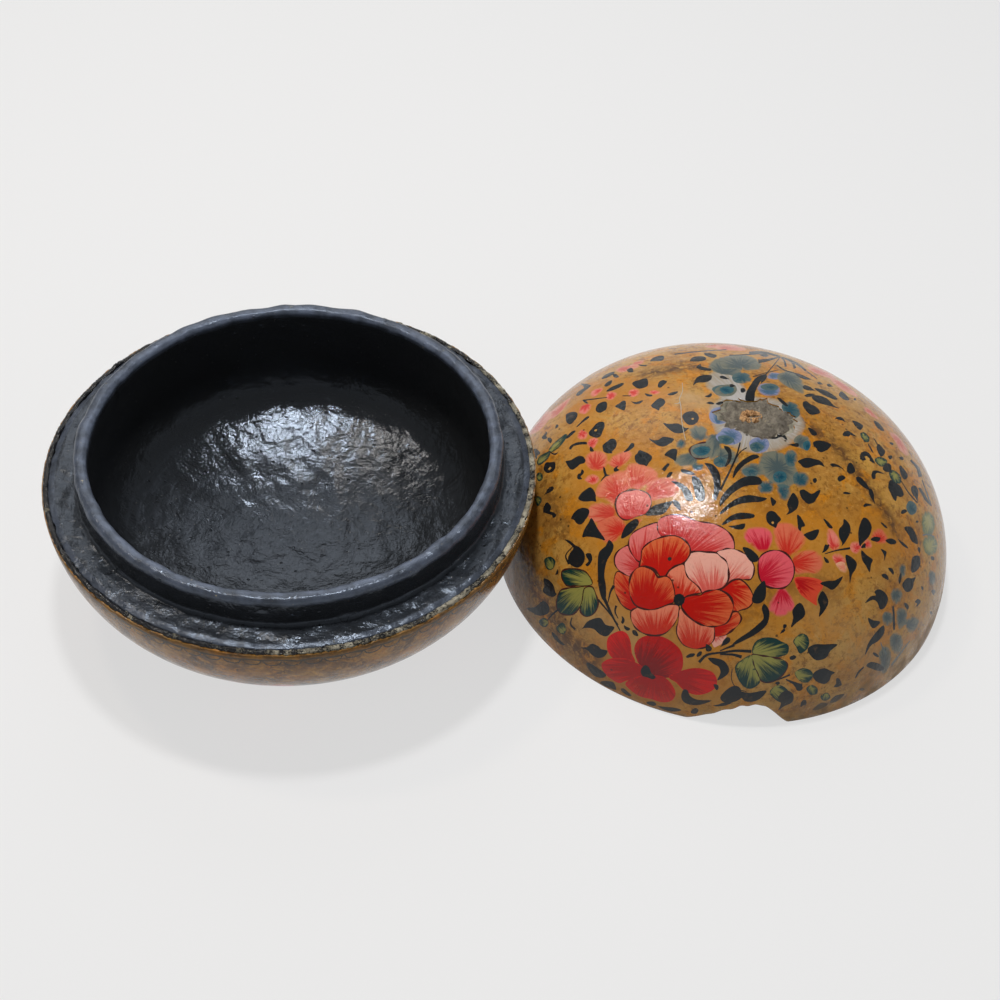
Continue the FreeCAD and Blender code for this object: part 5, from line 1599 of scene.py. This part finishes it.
# How many corners a fine ring has, where the broken peg stands on the map, and the run at the foot's edge.
FINE_ROUND = 720
PEG_PLACE = np.array([1.6, 0.2])
FOOT_RUN = BASE.crown * math.asin(FOOT / BASE.crown)

paste_loop = smooth_loop(LID.cast(numbers(PASTE)), 4)
paste_middle = paste_loop.mean(axis=0)
paste_tear = 0.05 * ripple(paste_loop, 3.2, 44) + 0.035 * ripple(paste_loop, 1.7, 45)
paste_loop = paste_middle + (paste_loop - paste_middle) * (1 + paste_tear)[:, None]


def flaked_hole():
    """The paint's edge round the paste: flaked back at the left and the lower right."""
    away = paste_loop - paste_middle
    turn = np.arctan2(away[:, 1], away[:, 0])
    open_left = np.exp(-((turned_from(turn, 2.9) / 0.5) ** 2))
    open_right = np.exp(-((turned_from(turn, -0.45) / 0.35) ** 2))
    torn = 0.04 + 0.16 * open_left + 0.13 * open_right + 0.03 * ripple(away, 2.5, 5)
    return paste_middle + away * (1 + np.maximum(torn, 0.0))[:, None]


# Stains of the lid's ground: which kind, reach in millimetres, strength, route.
BROWN, TAN = 0, 1
STAINS = [
    (BROWN, 3.0, 1.0, "7950 4150 8200 4350 8400 4500 8550 4700 8690 4900 8850 5120 8950 5300"),
    (BROWN, 3.4, 1.0, "6480 3740 6700 3690 6920 3660"),
    (BROWN, 7.0, 1.0, "5150 5450 5250 5700 5400 5950 5600 6300 5900 6600"),
    (BROWN, 5.0, 0.6, "5500 4900 5620 5300"),
    (BROWN, 6.0, 0.5, "7400 6100 7900 5800 8300 5900"),
    (BROWN, 5.0, 0.5, "6400 5400 6650 5750 6700 6200"),
    (TAN, 9.0, 0.4, "8200 6100 8500 6350 8700 6600"),
    (TAN, 4.0, 0.9, "6860 3960 7060 4010"),
    (TAN, 9.0, 0.6, "5900 6200 6500 6500"),
]
# The ground glows within this reach of red petals, which are the ones with much red and little green.
GLOW = 7.0
RED_LEAST, GREEN_MOST = 0.3, 0.08


def lid_stains(corners, motifs):
    """How brown, tan and glowing the lid's ground is at each corner, and how much darker towards the rim."""
    values = np.zeros((len(corners), 4))
    for kind, reach, strength, route in STAINS:
        places = LID.cast(numbers(route))
        distance = run_distance(places[:-1], np.diff(places, axis=0), corners)
        values[:, kind] = np.maximum(values[:, kind], strength * np.exp(-((distance / reach) ** 2)))
    reds = [
        motif
        for motif in motifs
        if motif.start is not None and motif.colours[0][0] > RED_LEAST and motif.colours[0][1] < GREEN_MOST
    ]
    near = nearest_of(np.vstack([motif.loops[0] for motif in reds]), corners)[1]
    values[:, 2] = np.exp(-((near / GLOW) ** 2))
    # The last value darkens the ground towards the rim in a patchy band, widest and strongest towards the
    # right front.
    run = np.hypot(corners[:, 0], corners[:, 1])
    edge = LID.reach - run
    patchy = 1 + 0.35 * ripple(corners, 14.0, 21) + 0.2 * ripple(corners, 5.0, 22)
    turn = np.arctan2(corners[:, 1], corners[:, 0])
    side = np.maximum(0.42 + 0.58 * np.cos(turn + 0.5), 0.12)
    values[:, 3] = np.clip(np.exp(-((edge / (3.0 + 9.0 * side)) ** 2)) * patchy * side, 0, 1)
    return np.clip(values, 0, 1)


def paint_skin(piece, corners, triangles, motifs, face_count, flipped, stains_and_shade):
    """Writes the paint values to a skin whose first faces are the outer triangles."""
    begin, finish, brush = paint_corners(corners, triangles, motifs)
    total = len(piece.data.loops)

    def spread(values):
        width = values.shape[1]
        shaped = values.reshape(-1, 3, width)
        if flipped:
            shaped = shaped[:, ::-1]
        full = np.zeros((total, width))
        full[: face_count * 3] = shaped.reshape(-1, width)
        return full

    write_values(piece, "paint_start", "FLOAT_COLOR", "CORNER", spread(begin))
    write_values(piece, "paint_finish", "FLOAT_COLOR", "CORNER", spread(finish))
    write_values(piece, "paint_brush", "FLOAT_VECTOR", "CORNER", spread(brush))
    full = np.zeros((len(piece.data.vertices), 4))
    full[: len(stains_and_shade)] = stains_and_shade
    write_values(piece, "ground_stain_and_shade", "FLOAT_COLOR", "POINT", full)


def make_lid_skin(painted):
    """The lid's painted skin, open round the paste and torn at the chip."""
    motifs = lid_motifs()
    motifs = lid_far_side(motifs) + motifs
    rim, hole = lid_rim(), flaked_hole()
    loops = [loop for motif in motifs for loop in motif.loops]
    corners, triangles = cut_map(loops + [rim, hole], LID_SPACING, LID.reach)
    triangles = kept_within(corners, triangles, rim, [hole])
    points, faces, smooth, outer = stack_skin(LID, corners, triangles, rim, hole)
    piece = make_mesh("lid_painted_skin", points, faces, smooth)
    paint_skin(piece, corners, triangles, motifs, outer, False, lid_stains(corners, motifs))
    dress(piece, painted, "lid", ["lid_paint"])
    return motifs


# The other pieces of the lid

def make_lid_chalk(material):
    """The chalk ground under the paint: it shows in the chip and round the paste."""
    turns = round_turns(FINE_ROUND)
    rows = []
    hole_turn = np.arctan2(paste_loop[:, 1], paste_loop[:, 0])
    hole_run = np.interp(turns, hole_turn, np.hypot(*paste_loop.T), period=2 * math.pi)
    for depth, shares in ((PAINT_COAT, np.linspace(0, 1, 16)), (COATS, np.linspace(1, 0, 16))):
        edge = LID.reach - chip_height(turns, depth)
        for share in shares:
            run = hole_run + (edge - hole_run) * share
            rows.append(LID.place(turns, run, depth))
        if depth == PAINT_COAT:
            for depth_share in np.linspace(0, 1, 7)[1:-1]:
                middle = PAINT_COAT + (COATS - PAINT_COAT) * depth_share
                run = LID.reach - chip_height(turns, middle)
                rows.append(LID.place(turns, run, middle))
    points, faces = lathe(np.stack(rows, axis=1))
    piece = make_mesh("lid_chalk_ground", points, faces)
    write_values(piece, "lacquered", "FLOAT", "POINT", np.zeros(len(points)))
    dress(piece, material, "lid", ["lid_gesso"])


def make_lid_pulp(material):
    """The pulp dome: torn where the chip opens it, with the peg's hole at its crown."""
    turns = round_turns(FINE_ROUND)
    rows = []
    edge = LID.reach - chip_height(turns, COATS)
    for share in np.linspace(0, 1, 18):
        rows.append(LID.place(turns, PEG + (edge - PEG) * share, COATS))
    across = OUTER - MOUTH - LACQUER
    for depth in np.linspace(COATS, across, 22)[1:]:
        torn = chip_height(turns, depth)
        rough = 0.3 * ripple(np.stack([turns * OUTER, 0 * turns + depth], axis=-1), 2.6, 31)
        height = np.where(torn > 0.8, torn + rough, torn)
        rows.append(circle(turns, OUTER - depth, height, LID_X))
    last = LID_HOLLOW.crown * math.asin(PEG / LID_HOLLOW.crown)
    for run in np.linspace(LID_HOLLOW.reach, last, 24):
        rows.append(LID_HOLLOW.place(turns, np.full_like(turns, run)))
    points, faces = lathe(np.stack(rows, axis=1))
    piece = make_mesh("lid_pressed_pulp", points, faces)
    dress(piece, material, "lid", ["lid_shell"])


def make_paste(material):
    """The bedding paste: a lumpy patch, sunk at its edge and dished round the peg."""
    spacing = 0.55
    low, high = paste_loop.min(axis=0), paste_loop.max(axis=0)
    grid = crossings(np.arange(low[0], high[0], spacing), np.arange(low[1], high[1], spacing))
    grid = grid[is_inside([paste_loop], grid) & (edge_distance(paste_loop, grid) > 0.3)]
    corners, triangles = triangulated(np.vstack([paste_loop, grid]), loop_edges(len(paste_loop)))
    triangles = kept_within(corners, triangles, paste_loop, [])
    fade = np.clip(edge_distance(paste_loop, corners) / 1.2, 0, 1)
    lump = 0.35 * ripple(corners, 5.0, 41) + 0.3 * ripple(corners, 2.0, 42) + 0.16 * ripple(corners, 1.1, 43)
    away = np.linalg.norm(corners - PEG_PLACE, axis=1)
    dish = np.exp(-((away / 5.0) ** 4))
    height = -0.45 + fade * (0.75 + lump) - dish * 0.75
    top = LID.from_map(corners, -height)
    bottom = LID.from_map(corners, COATS)
    total = len(corners)
    walls = []
    for a, b in border(triangles).tolist():
        walls += [(a, a + total, b), (b, a + total, b + total)]
    faces = np.vstack([triangles, triangles[:, ::-1] + total, np.array(walls)])
    piece = make_mesh("knob_paste", np.vstack([top, bottom]), faces)
    dress(piece, material, "lid", ["knob_filler"])


def make_peg(material):
    """The broken peg: torn higher on one side, with a hollow in its break that is darkened as painted shade.
    """
    turns = round_turns(64, 0)
    rows, hollow = [], []
    halves = [3.9, 2.7]
    foot, highest = 58.0, 62.2
    uneven = (1 + 0.06 * ripple(ring(turns) * 3, 3.0, 51))[:, None]
    for share in np.linspace(0, 1, 17)[1:]:
        spot = PEG_PLACE + ring(turns) * halves * share * uneven
        tear = 0.55 * ripple(spot * [0.6, 2.0], 2.2, 52) + 0.25 * ripple(spot, 0.9, 53)
        pit = np.exp(-(((spot[:, 0] - 2.6) / 2.3) ** 2 + ((spot[:, 1] - 0.2) / 0.75) ** 2) ** 2)
        height = LID.section(np.array(0.0), 0.0)[1] + 0.35 + tear * 0.5 - pit * 1.8
        rows.append(np.stack([LID_X + spot[:, 0], spot[:, 1], np.minimum(height, highest)], axis=-1))
        hollow.append(pit)
    low = rows[-1].copy()
    low[:, 2] = foot
    rows.append(low)
    hollow.append(0 * pit)
    points = np.stack(rows, axis=1)
    top = rows[0].mean(axis=0)
    bottom = np.array([LID_X + PEG_PLACE[0], PEG_PLACE[1], foot])
    flat, faces = lathe(points, top, bottom)
    piece = make_mesh("knob_peg_stub", flat, [face[::-1] for face in faces])
    values = np.append(np.stack(hollow, axis=1).ravel(), [0.6, 0])
    write_values(piece, "hollow", "FLOAT", "POINT", values)
    dress(piece, material, "lid", ["knob_peg"])


# The base

HAZE_PLACE, HAZE_REACH = (-44, 4), 24  # the dusty patch at the left of the hollow


def lining_section():
    """The lacquer's outer line from the hollow's middle over the neck to the ledge's edge.

    Each row is a radius, a height, how dusty the lacquer is there, which partly stands for a painted sheen,
    and how worn, which also sets a painted highlight.
    """
    inner = []
    for share in np.linspace(0.012, 1, 62):
        run = BASE_HOLLOW.reach * share
        # Dust on the hollow's floor, which partly is a painted sheen.
        floor_dust_and_sheen = 0.8 * math.exp(-((run / 40) ** 3))
        inner.append([*map(float, BASE_HOLLOW.section(np.array(run), LACQUER)), floor_dust_and_sheen, 0.0])
    inside = NECK - STRIP - LACQUER
    outside = NECK + LACQUER
    bend = NECK_ROUND + LACQUER
    height = NECK_TOP - NECK_ROUND
    for level in np.linspace(SEAT, height, 16)[1:]:
        inner.append([inside, level, max(0.0, (level - 54.5) / 4), max(0.0, (level - 55.5) / 2)])
    for turn in np.linspace(0, math.pi / 2, 7)[1:]:
        inner.append([inside + bend * (1 - math.cos(turn)), height + bend * math.sin(turn), 0.6, 1.0])
    for turn in np.linspace(0, math.pi / 2, 7):
        inner.append([outside - bend * (1 - math.sin(turn)), height + bend * math.cos(turn), 0.45, 0.6])
    top = LEDGE + LACQUER
    fillet = 1.4
    for level in np.linspace(height, top + fillet, 8)[1:]:
        inner.append([outside, level, 0.3, 0.0])
    for turn in np.linspace(0, math.pi / 2, 6)[1:]:
        inner.append([outside + fillet * (1 - math.cos(turn)), top + fillet * (1 - math.sin(turn)), 1.0, 0.0])
    for radius in np.linspace(outside + fillet, OUTER - COATS, 18)[1:]:
        drop = 0.5 * max(0.0, 1 - (OUTER - COATS - radius) / 2.6) ** 1.8
        inner.append([radius, top - drop, 1.0, 0.35 if drop > 0.05 else 0.0])
    return np.array(inner)


def lining_underside():
    """The line under the lacquer, from the ledge's edge back over the neck to the hollow's middle."""
    under = [
        [OUTER - COATS, LEDGE],
        [NECK + 0.02, LEDGE],
        [NECK, NECK_TOP - NECK_ROUND],
        [NECK - NECK_ROUND, NECK_TOP],
        [NECK - STRIP + NECK_ROUND, NECK_TOP],
        [NECK - STRIP, NECK_TOP - NECK_ROUND],
        [NECK - STRIP, SEAT],
    ]
    for share in np.linspace(0.94, 0.05, 14):
        under.append([*map(float, BASE_HOLLOW.section(np.array(BASE_HOLLOW.reach * share), 0.0))])
    return np.array(under)


def lining_lumps(flat, section, count):
    """How far the lacquer's lumps stand out: low waves all over, more on the neck and the ledge."""
    lumps = 0.07 * ripple(flat, 15.0, 61) + 0.03 * ripple(flat, 6.0, 62) + 0.012 * ripple(flat, 3.0, 63)
    wobble = np.clip((flat[:, 2] - LEDGE) / 6, 0, 1) * 0.12 * ripple(flat, 11.0, 64)
    on_ledge = np.tile(section[:, 2] > 0.9, count)
    return np.clip(lumps + wobble + on_ledge * 0.1 * ripple(flat, 5.0, 65), -0.35, 0.6)


def make_lining(material):
    """The black lacquer of the hollow, the neck and the ledge."""
    section, under = lining_section(), lining_underside()
    turns = round_turns(360, 0)
    outer = np.stack([circle(turns, row[0], row[1]) for row in section], axis=1)
    step = np.gradient(section[:, :2], axis=0)
    step /= np.linalg.norm(step, axis=1)[:, None]
    normals = np.stack([circle(turns, -row[1], row[0]) for row in step], axis=1)
    flat = outer.reshape(-1, 3)
    away = np.linalg.norm(flat[:, :2] - HAZE_PLACE, axis=1)
    haze = 0.5 * np.exp(-((away / HAZE_REACH) ** 2))
    lumps = lining_lumps(flat, section, len(turns))
    outer = outer + normals * lumps.reshape(len(turns), -1)[..., None]
    inner = np.stack([circle(turns, row[0], row[1]) for row in under], axis=1)
    points = np.concatenate([outer, inner], axis=1)
    flat, faces = lathe(points, outer[:, 0].mean(axis=0), np.array([0, 0, FLOOR]))
    piece = make_mesh("base_black_lining", flat, faces)

    def spread(values, more=0.0):
        """Values along the section, for every point of the mesh: none underneath and at the two poles."""
        full = np.zeros((len(turns), len(section) + len(under)))
        full[:, : len(section)] = values + more
        return np.append(np.clip(full.ravel(), 0, 1), [0, 0])

    write_values(piece, "dust_and_sheen_zone", "FLOAT", "POINT", spread(section[:, 2], haze.reshape(len(turns), -1)))
    write_values(piece, "edge_wear_and_highlight", "FLOAT", "POINT", spread(section[:, 3]))
    steps = np.hypot(*np.diff(section[:, :2], axis=0, prepend=section[:1, :2]).T)
    along = np.append(np.cumsum(steps), np.zeros(len(under))) / 1.9
    lane = np.stack([circle(turns, 4.0, height) for height in along], axis=1).reshape(-1, 3)
    write_values(piece, "brush_lane", "FLOAT_VECTOR", "POINT", np.vstack([lane, np.zeros((2, 3))]))
    dress(piece, material, "base", ["base_lining"])


def make_base_chalk(material):
    """The chalk ground: a bumpy band round the ledge's edge, and the hidden coat below it."""
    turns = round_turns(FINE_ROUND)
    around = ring(turns) * OUTER
    rows, black = [], []
    below_bead = FOOT_RUN + (BASE.reach - FOOT_RUN) * np.linspace(0, 0.985, 14)
    for run in below_bead:
        rows.append(BASE.place(turns, np.full_like(turns, run), PAINT_COAT))
        black.append(np.zeros_like(turns))
    bead = np.clip(0.3 + 0.25 * ripple(around, 7.0, 71) + 0.16 * ripple(around, 2.5, 72), 0.05, 1.1)
    bare = 0.22 + 0.42 * np.cos(turns + 0.35)
    bare = bare + 0.15 * ripple(around, 12.0, 73) + 0.12 * ripple(around, 4.0, 74)
    for turn in np.linspace(0, math.pi, 11):
        radius = OUTER - 1.25 + 0.85 * math.cos(turn)
        height = LEDGE - 0.1 + (bead + 0.25) * math.sin(turn) ** 0.8
        wave = 0.12 * ripple(around + turn * 3, 1.6, 75)
        rows.append(circle(turns, radius + wave, height))
        black.append(1 - bare)
    for run in below_bead[::-1]:
        rows.append(BASE.place(turns, np.full_like(turns, run), COATS))
        black.append(np.zeros_like(turns))
    points, faces = lathe(np.stack(rows, axis=1))
    piece = make_mesh("base_chalk_ground", points, [face[::-1] for face in faces])
    write_values(piece, "lacquered", "FLOAT", "POINT", np.stack(black, axis=1).ravel())
    dress(piece, material, "base", ["base_gesso"])


def base_motifs(lid):
    """Bouquets like the lid's round the base, and a border line with scallops."""
    centre = LID.cast(numbers("6900 5600"))[0]
    outward = math.atan2(centre[1], centre[0])
    motifs = []
    count, scale = 6, 0.56
    border_run = BASE.reach - 2.4
    for turn in math.radians(-100) + np.arange(count) * 2 * math.pi / count:
        middle = (FOOT_RUN + border_run - 10) / 2 * ring(turn)
        rotate = turning(turn - outward)
        for motif in lid:
            copy = motif.moved(lambda spots: middle + (spots - centre) @ rotate * scale)
            spots = copy.loops[0]
            run = np.hypot(spots[:, 0], spots[:, 1])
            side = abs(turned_from(np.arctan2(spots[:, 1], spots[:, 0]), turn)).max()
            if run.min() > FOOT_RUN + 2 and run.max() < border_run - 17 and side < math.pi / count:
                motifs.append(copy)
    turns = round_turns(360, 0)
    for run, width in ((border_run, 0.8), (FOOT_RUN + 1.6, 0.7)):
        wave = run + 0.2 * ripple(ring(turns) * OUTER, 9.0, 81)
        half = width / 2 * (1 + 0.3 * ripple(ring(turns) * OUTER, 4.0, 82))
        motifs.append(flat_motif([(wave + side)[:, None] * ring(turns) for side in (half, -half)], "black"))
    scallops = 84
    shares = np.linspace(-1, 1, 9)
    runs = border_run - 0.4 - 2.2 * np.sqrt(1 - shares**2)
    for turn in round_turns(scallops, 0):
        route = runs[:, None] * ring(turn + shares * math.pi / scallops * 0.92)
        motifs.append(flat_motif([stroke_loop(route, np.full(len(shares), 0.5))], "black"))
    return motifs


def base_shade_and_tint(corners):
    """The base's ground at each corner: browned all over and darker at the rim and the foot, as painted shade
    of an outside that faces down; no tan, and a little amber glow.
    """
    values = np.zeros((len(corners), 4))
    run = np.hypot(corners[:, 0], corners[:, 1])
    # Painted shade: the whole outside browned, in patches.
    values[:, 0] = np.clip(0.75 + 0.3 * ripple(corners, 16.0, 91), 0, 1)
    values[:, 2] = 0.25
    # Painted shade: darker at the rim and at the foot.
    edge = BASE.reach - run
    foot = run - run.min()
    values[:, 3] = np.clip(0.9 * np.exp(-((edge / 4.0) ** 2)) + 0.9 * np.exp(-((foot / 8.0) ** 2)), 0, 1)
    return values


def make_base_skin(painted, lid):
    """The base's painted skin, from the foot to its torn edge under the chalk."""
    motifs = base_motifs(lid)
    turns = round_turns(FINE_ROUND)
    torn = 0.25 + 0.2 * ripple(ring(turns) * OUTER, 5.0, 95) + 0.12 * ripple(ring(turns) * OUTER, 1.8, 96)
    rim = (BASE.reach - np.clip(torn, 0, 1.2))[:, None] * ring(turns)
    hole = FOOT_RUN * ring(turns[::4])
    loops = [loop for motif in motifs for loop in motif.loops]
    corners, triangles = cut_map(loops + [rim, hole], BASE_SPACING, BASE.reach, FOOT_RUN)
    triangles = kept_within(corners, triangles, rim, [hole])
    points, faces, smooth, outer = stack_skin(BASE, corners, triangles, rim, hole)
    piece = make_mesh("base_painted_skin", points, faces, smooth)
    paint_skin(piece, corners, triangles, motifs, outer, True, base_shade_and_tint(corners))
    dress(piece, painted, "base", ["base_paint"])


# The room

FLOOR_GLOW, FLOOR_SEEN, FLOOR_PLAIN = 0.63, 0.22, 0.45
HORIZON, CEILING = 0.62, 0.2
HORIZON_ENDS, CEILING_STARTS = 0.15, 0.5
SENSOR, PICTURE = 36, 1000
# Each lamp, in metres: its name, place, aim, width, watts, colour, and whether it shows in reflections.
WHITE, WARM = (1.0, 1.0, 1.0), (1.0, 0.84, 0.68)
LAMPS = (
    ("key", (-0.01, 0.12, 0.9), (0.06, 0.0, 0.0), 0.1, 4.0, WHITE, True),
    ("back_sheen", (-0.05, 1.05, 0.95), (0.0, 0.0, 0.04), 0.85, 2.8, WHITE, True),
    ("side_glint", (-0.29, 0.245, 0.82), (0.0, 0.0, 0.02), 0.1, 1.1, WARM, True),
    ("fill_left", (-1.1, -0.9, 1.0), (0, 0, 0), 1.0, 2.2, WHITE, False),
    ("fill_right", (1.3, -0.8, 1.0), (0.1, 0, 0), 1.0, 2.2, WHITE, False),
)


def make_floor():
    """A wide pale floor: it glows for the camera and in reflections, and only scatters light otherwise."""
    mesh = bpy.data.meshes.new("floor")
    size = 2.5
    corners = [(-size, -size, 0), (size, -size, 0), (size, size, 0), (-size, size, 0)]
    mesh.from_pydata(corners, [], [(0, 1, 2, 3)])
    make = Shader("floor")
    rays = make.add("ShaderNodeLightPath").outputs
    seen = make.maths("MAXIMUM", rays["Is Camera Ray"], rays["Is Glossy Ray"])
    seen = make.maths("MAXIMUM", seen, rays["Is Transmission Ray"])
    shine = make.add("ShaderNodeEmission")
    shine.inputs["Color"].default_value = (1, 1, 1, 1)
    shine.inputs["Strength"].default_value = FLOOR_GLOW
    pale, plain = make.add("ShaderNodeBsdfDiffuse"), make.add("ShaderNodeBsdfDiffuse")
    pale.inputs["Color"].default_value = (*[FLOOR_SEEN] * 3, 1)
    plain.inputs["Color"].default_value = (*[FLOOR_PLAIN] * 3, 1)
    both = make.add("ShaderNodeAddShader")
    make.feed(both.inputs[0], shine.outputs[0])
    make.feed(both.inputs[1], pale.outputs[0])
    choice = make.add("ShaderNodeMixShader")
    make.feed(choice.inputs[0], seen)
    make.feed(choice.inputs[1], plain.outputs[0])
    make.feed(choice.inputs[2], both.outputs[0])
    mesh.materials.append(make.close(choice))
    placed("floor", mesh)


def make_world():
    """A pale band round the horizon and a dim ceiling."""
    world = bpy.data.worlds.new("room")
    bpy.context.scene.world = world
    world.use_nodes = True
    tree = world.node_tree
    tree.nodes.clear()
    place = tree.nodes.new("ShaderNodeTexCoord")
    split = tree.nodes.new("ShaderNodeSeparateXYZ")
    tree.links.new(place.outputs["Generated"], split.inputs[0])
    fade = tree.nodes.new("ShaderNodeMapRange")
    fade.interpolation_type = "SMOOTHSTEP"
    fade.inputs["From Min"].default_value = HORIZON_ENDS
    fade.inputs["From Max"].default_value = CEILING_STARTS
    fade.inputs["To Min"].default_value = HORIZON
    fade.inputs["To Max"].default_value = CEILING
    tree.links.new(split.outputs["Z"], fade.inputs["Value"])
    sky = tree.nodes.new("ShaderNodeBackground")
    tree.links.new(fade.outputs["Result"], sky.inputs["Strength"])
    out = tree.nodes.new("ShaderNodeOutputWorld")
    tree.links.new(sky.outputs[0], out.inputs[0])


def make_lamp(name, place, aim, size, power, colour, mirrored):
    """A round lamp that is turned to its aim."""
    data = bpy.data.lights.new(name, "AREA")
    data.shape = "DISK"
    data.size = size
    data.energy = power
    data.color = colour
    lamp = placed(name, data)
    lamp.location = place
    lamp.rotation_euler = (Vector(aim) - Vector(place)).to_track_quat("-Z", "Y").to_euler()
    lamp.visible_glossy = mirrored


def make_camera():
    """The camera that took the photograph, as fitted to it."""
    data = bpy.data.cameras.new("camera")
    data.sensor_width = SENSOR
    data.lens = SENSOR * FOCAL / PICTURE
    data.clip_start = 0.01
    camera = placed("camera", data)
    frame_axes = Matrix([[*row] for row in np.stack([RIGHT, UP, BACK], axis=-1)])
    camera.matrix_world = Matrix.Translation(Vector(EYE * METRE)) @ frame_axes.to_4x4()
    bpy.context.scene.camera = camera


def main():
    painted = painted_material("painted_skin")
    lacquer = lacquer_material("black_lacquer")
    chalk = chalk_material("chalk_ground")
    pulp = pulp_material("pressed_pulp")
    for node, material in (("base_shell", pulp), ("base_collar", pulp), ("lid_lining", lacquer)):
        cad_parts[node].data.materials.clear()
        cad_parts[node].data.materials.append(material)
    motifs = make_lid_skin(painted)
    make_lid_chalk(chalk)
    make_lid_pulp(pulp)
    make_paste(paste_material("knob_paste"))
    make_peg(wood_material("peg_wood"))
    make_lining(lacquer)
    make_base_chalk(chalk)
    make_base_skin(painted, motifs)
    make_floor()
    make_world()
    for lamp in LAMPS:
        make_lamp(*lamp)
    make_camera()
    bpy.context.scene.view_settings.view_transform = "Standard"


main()
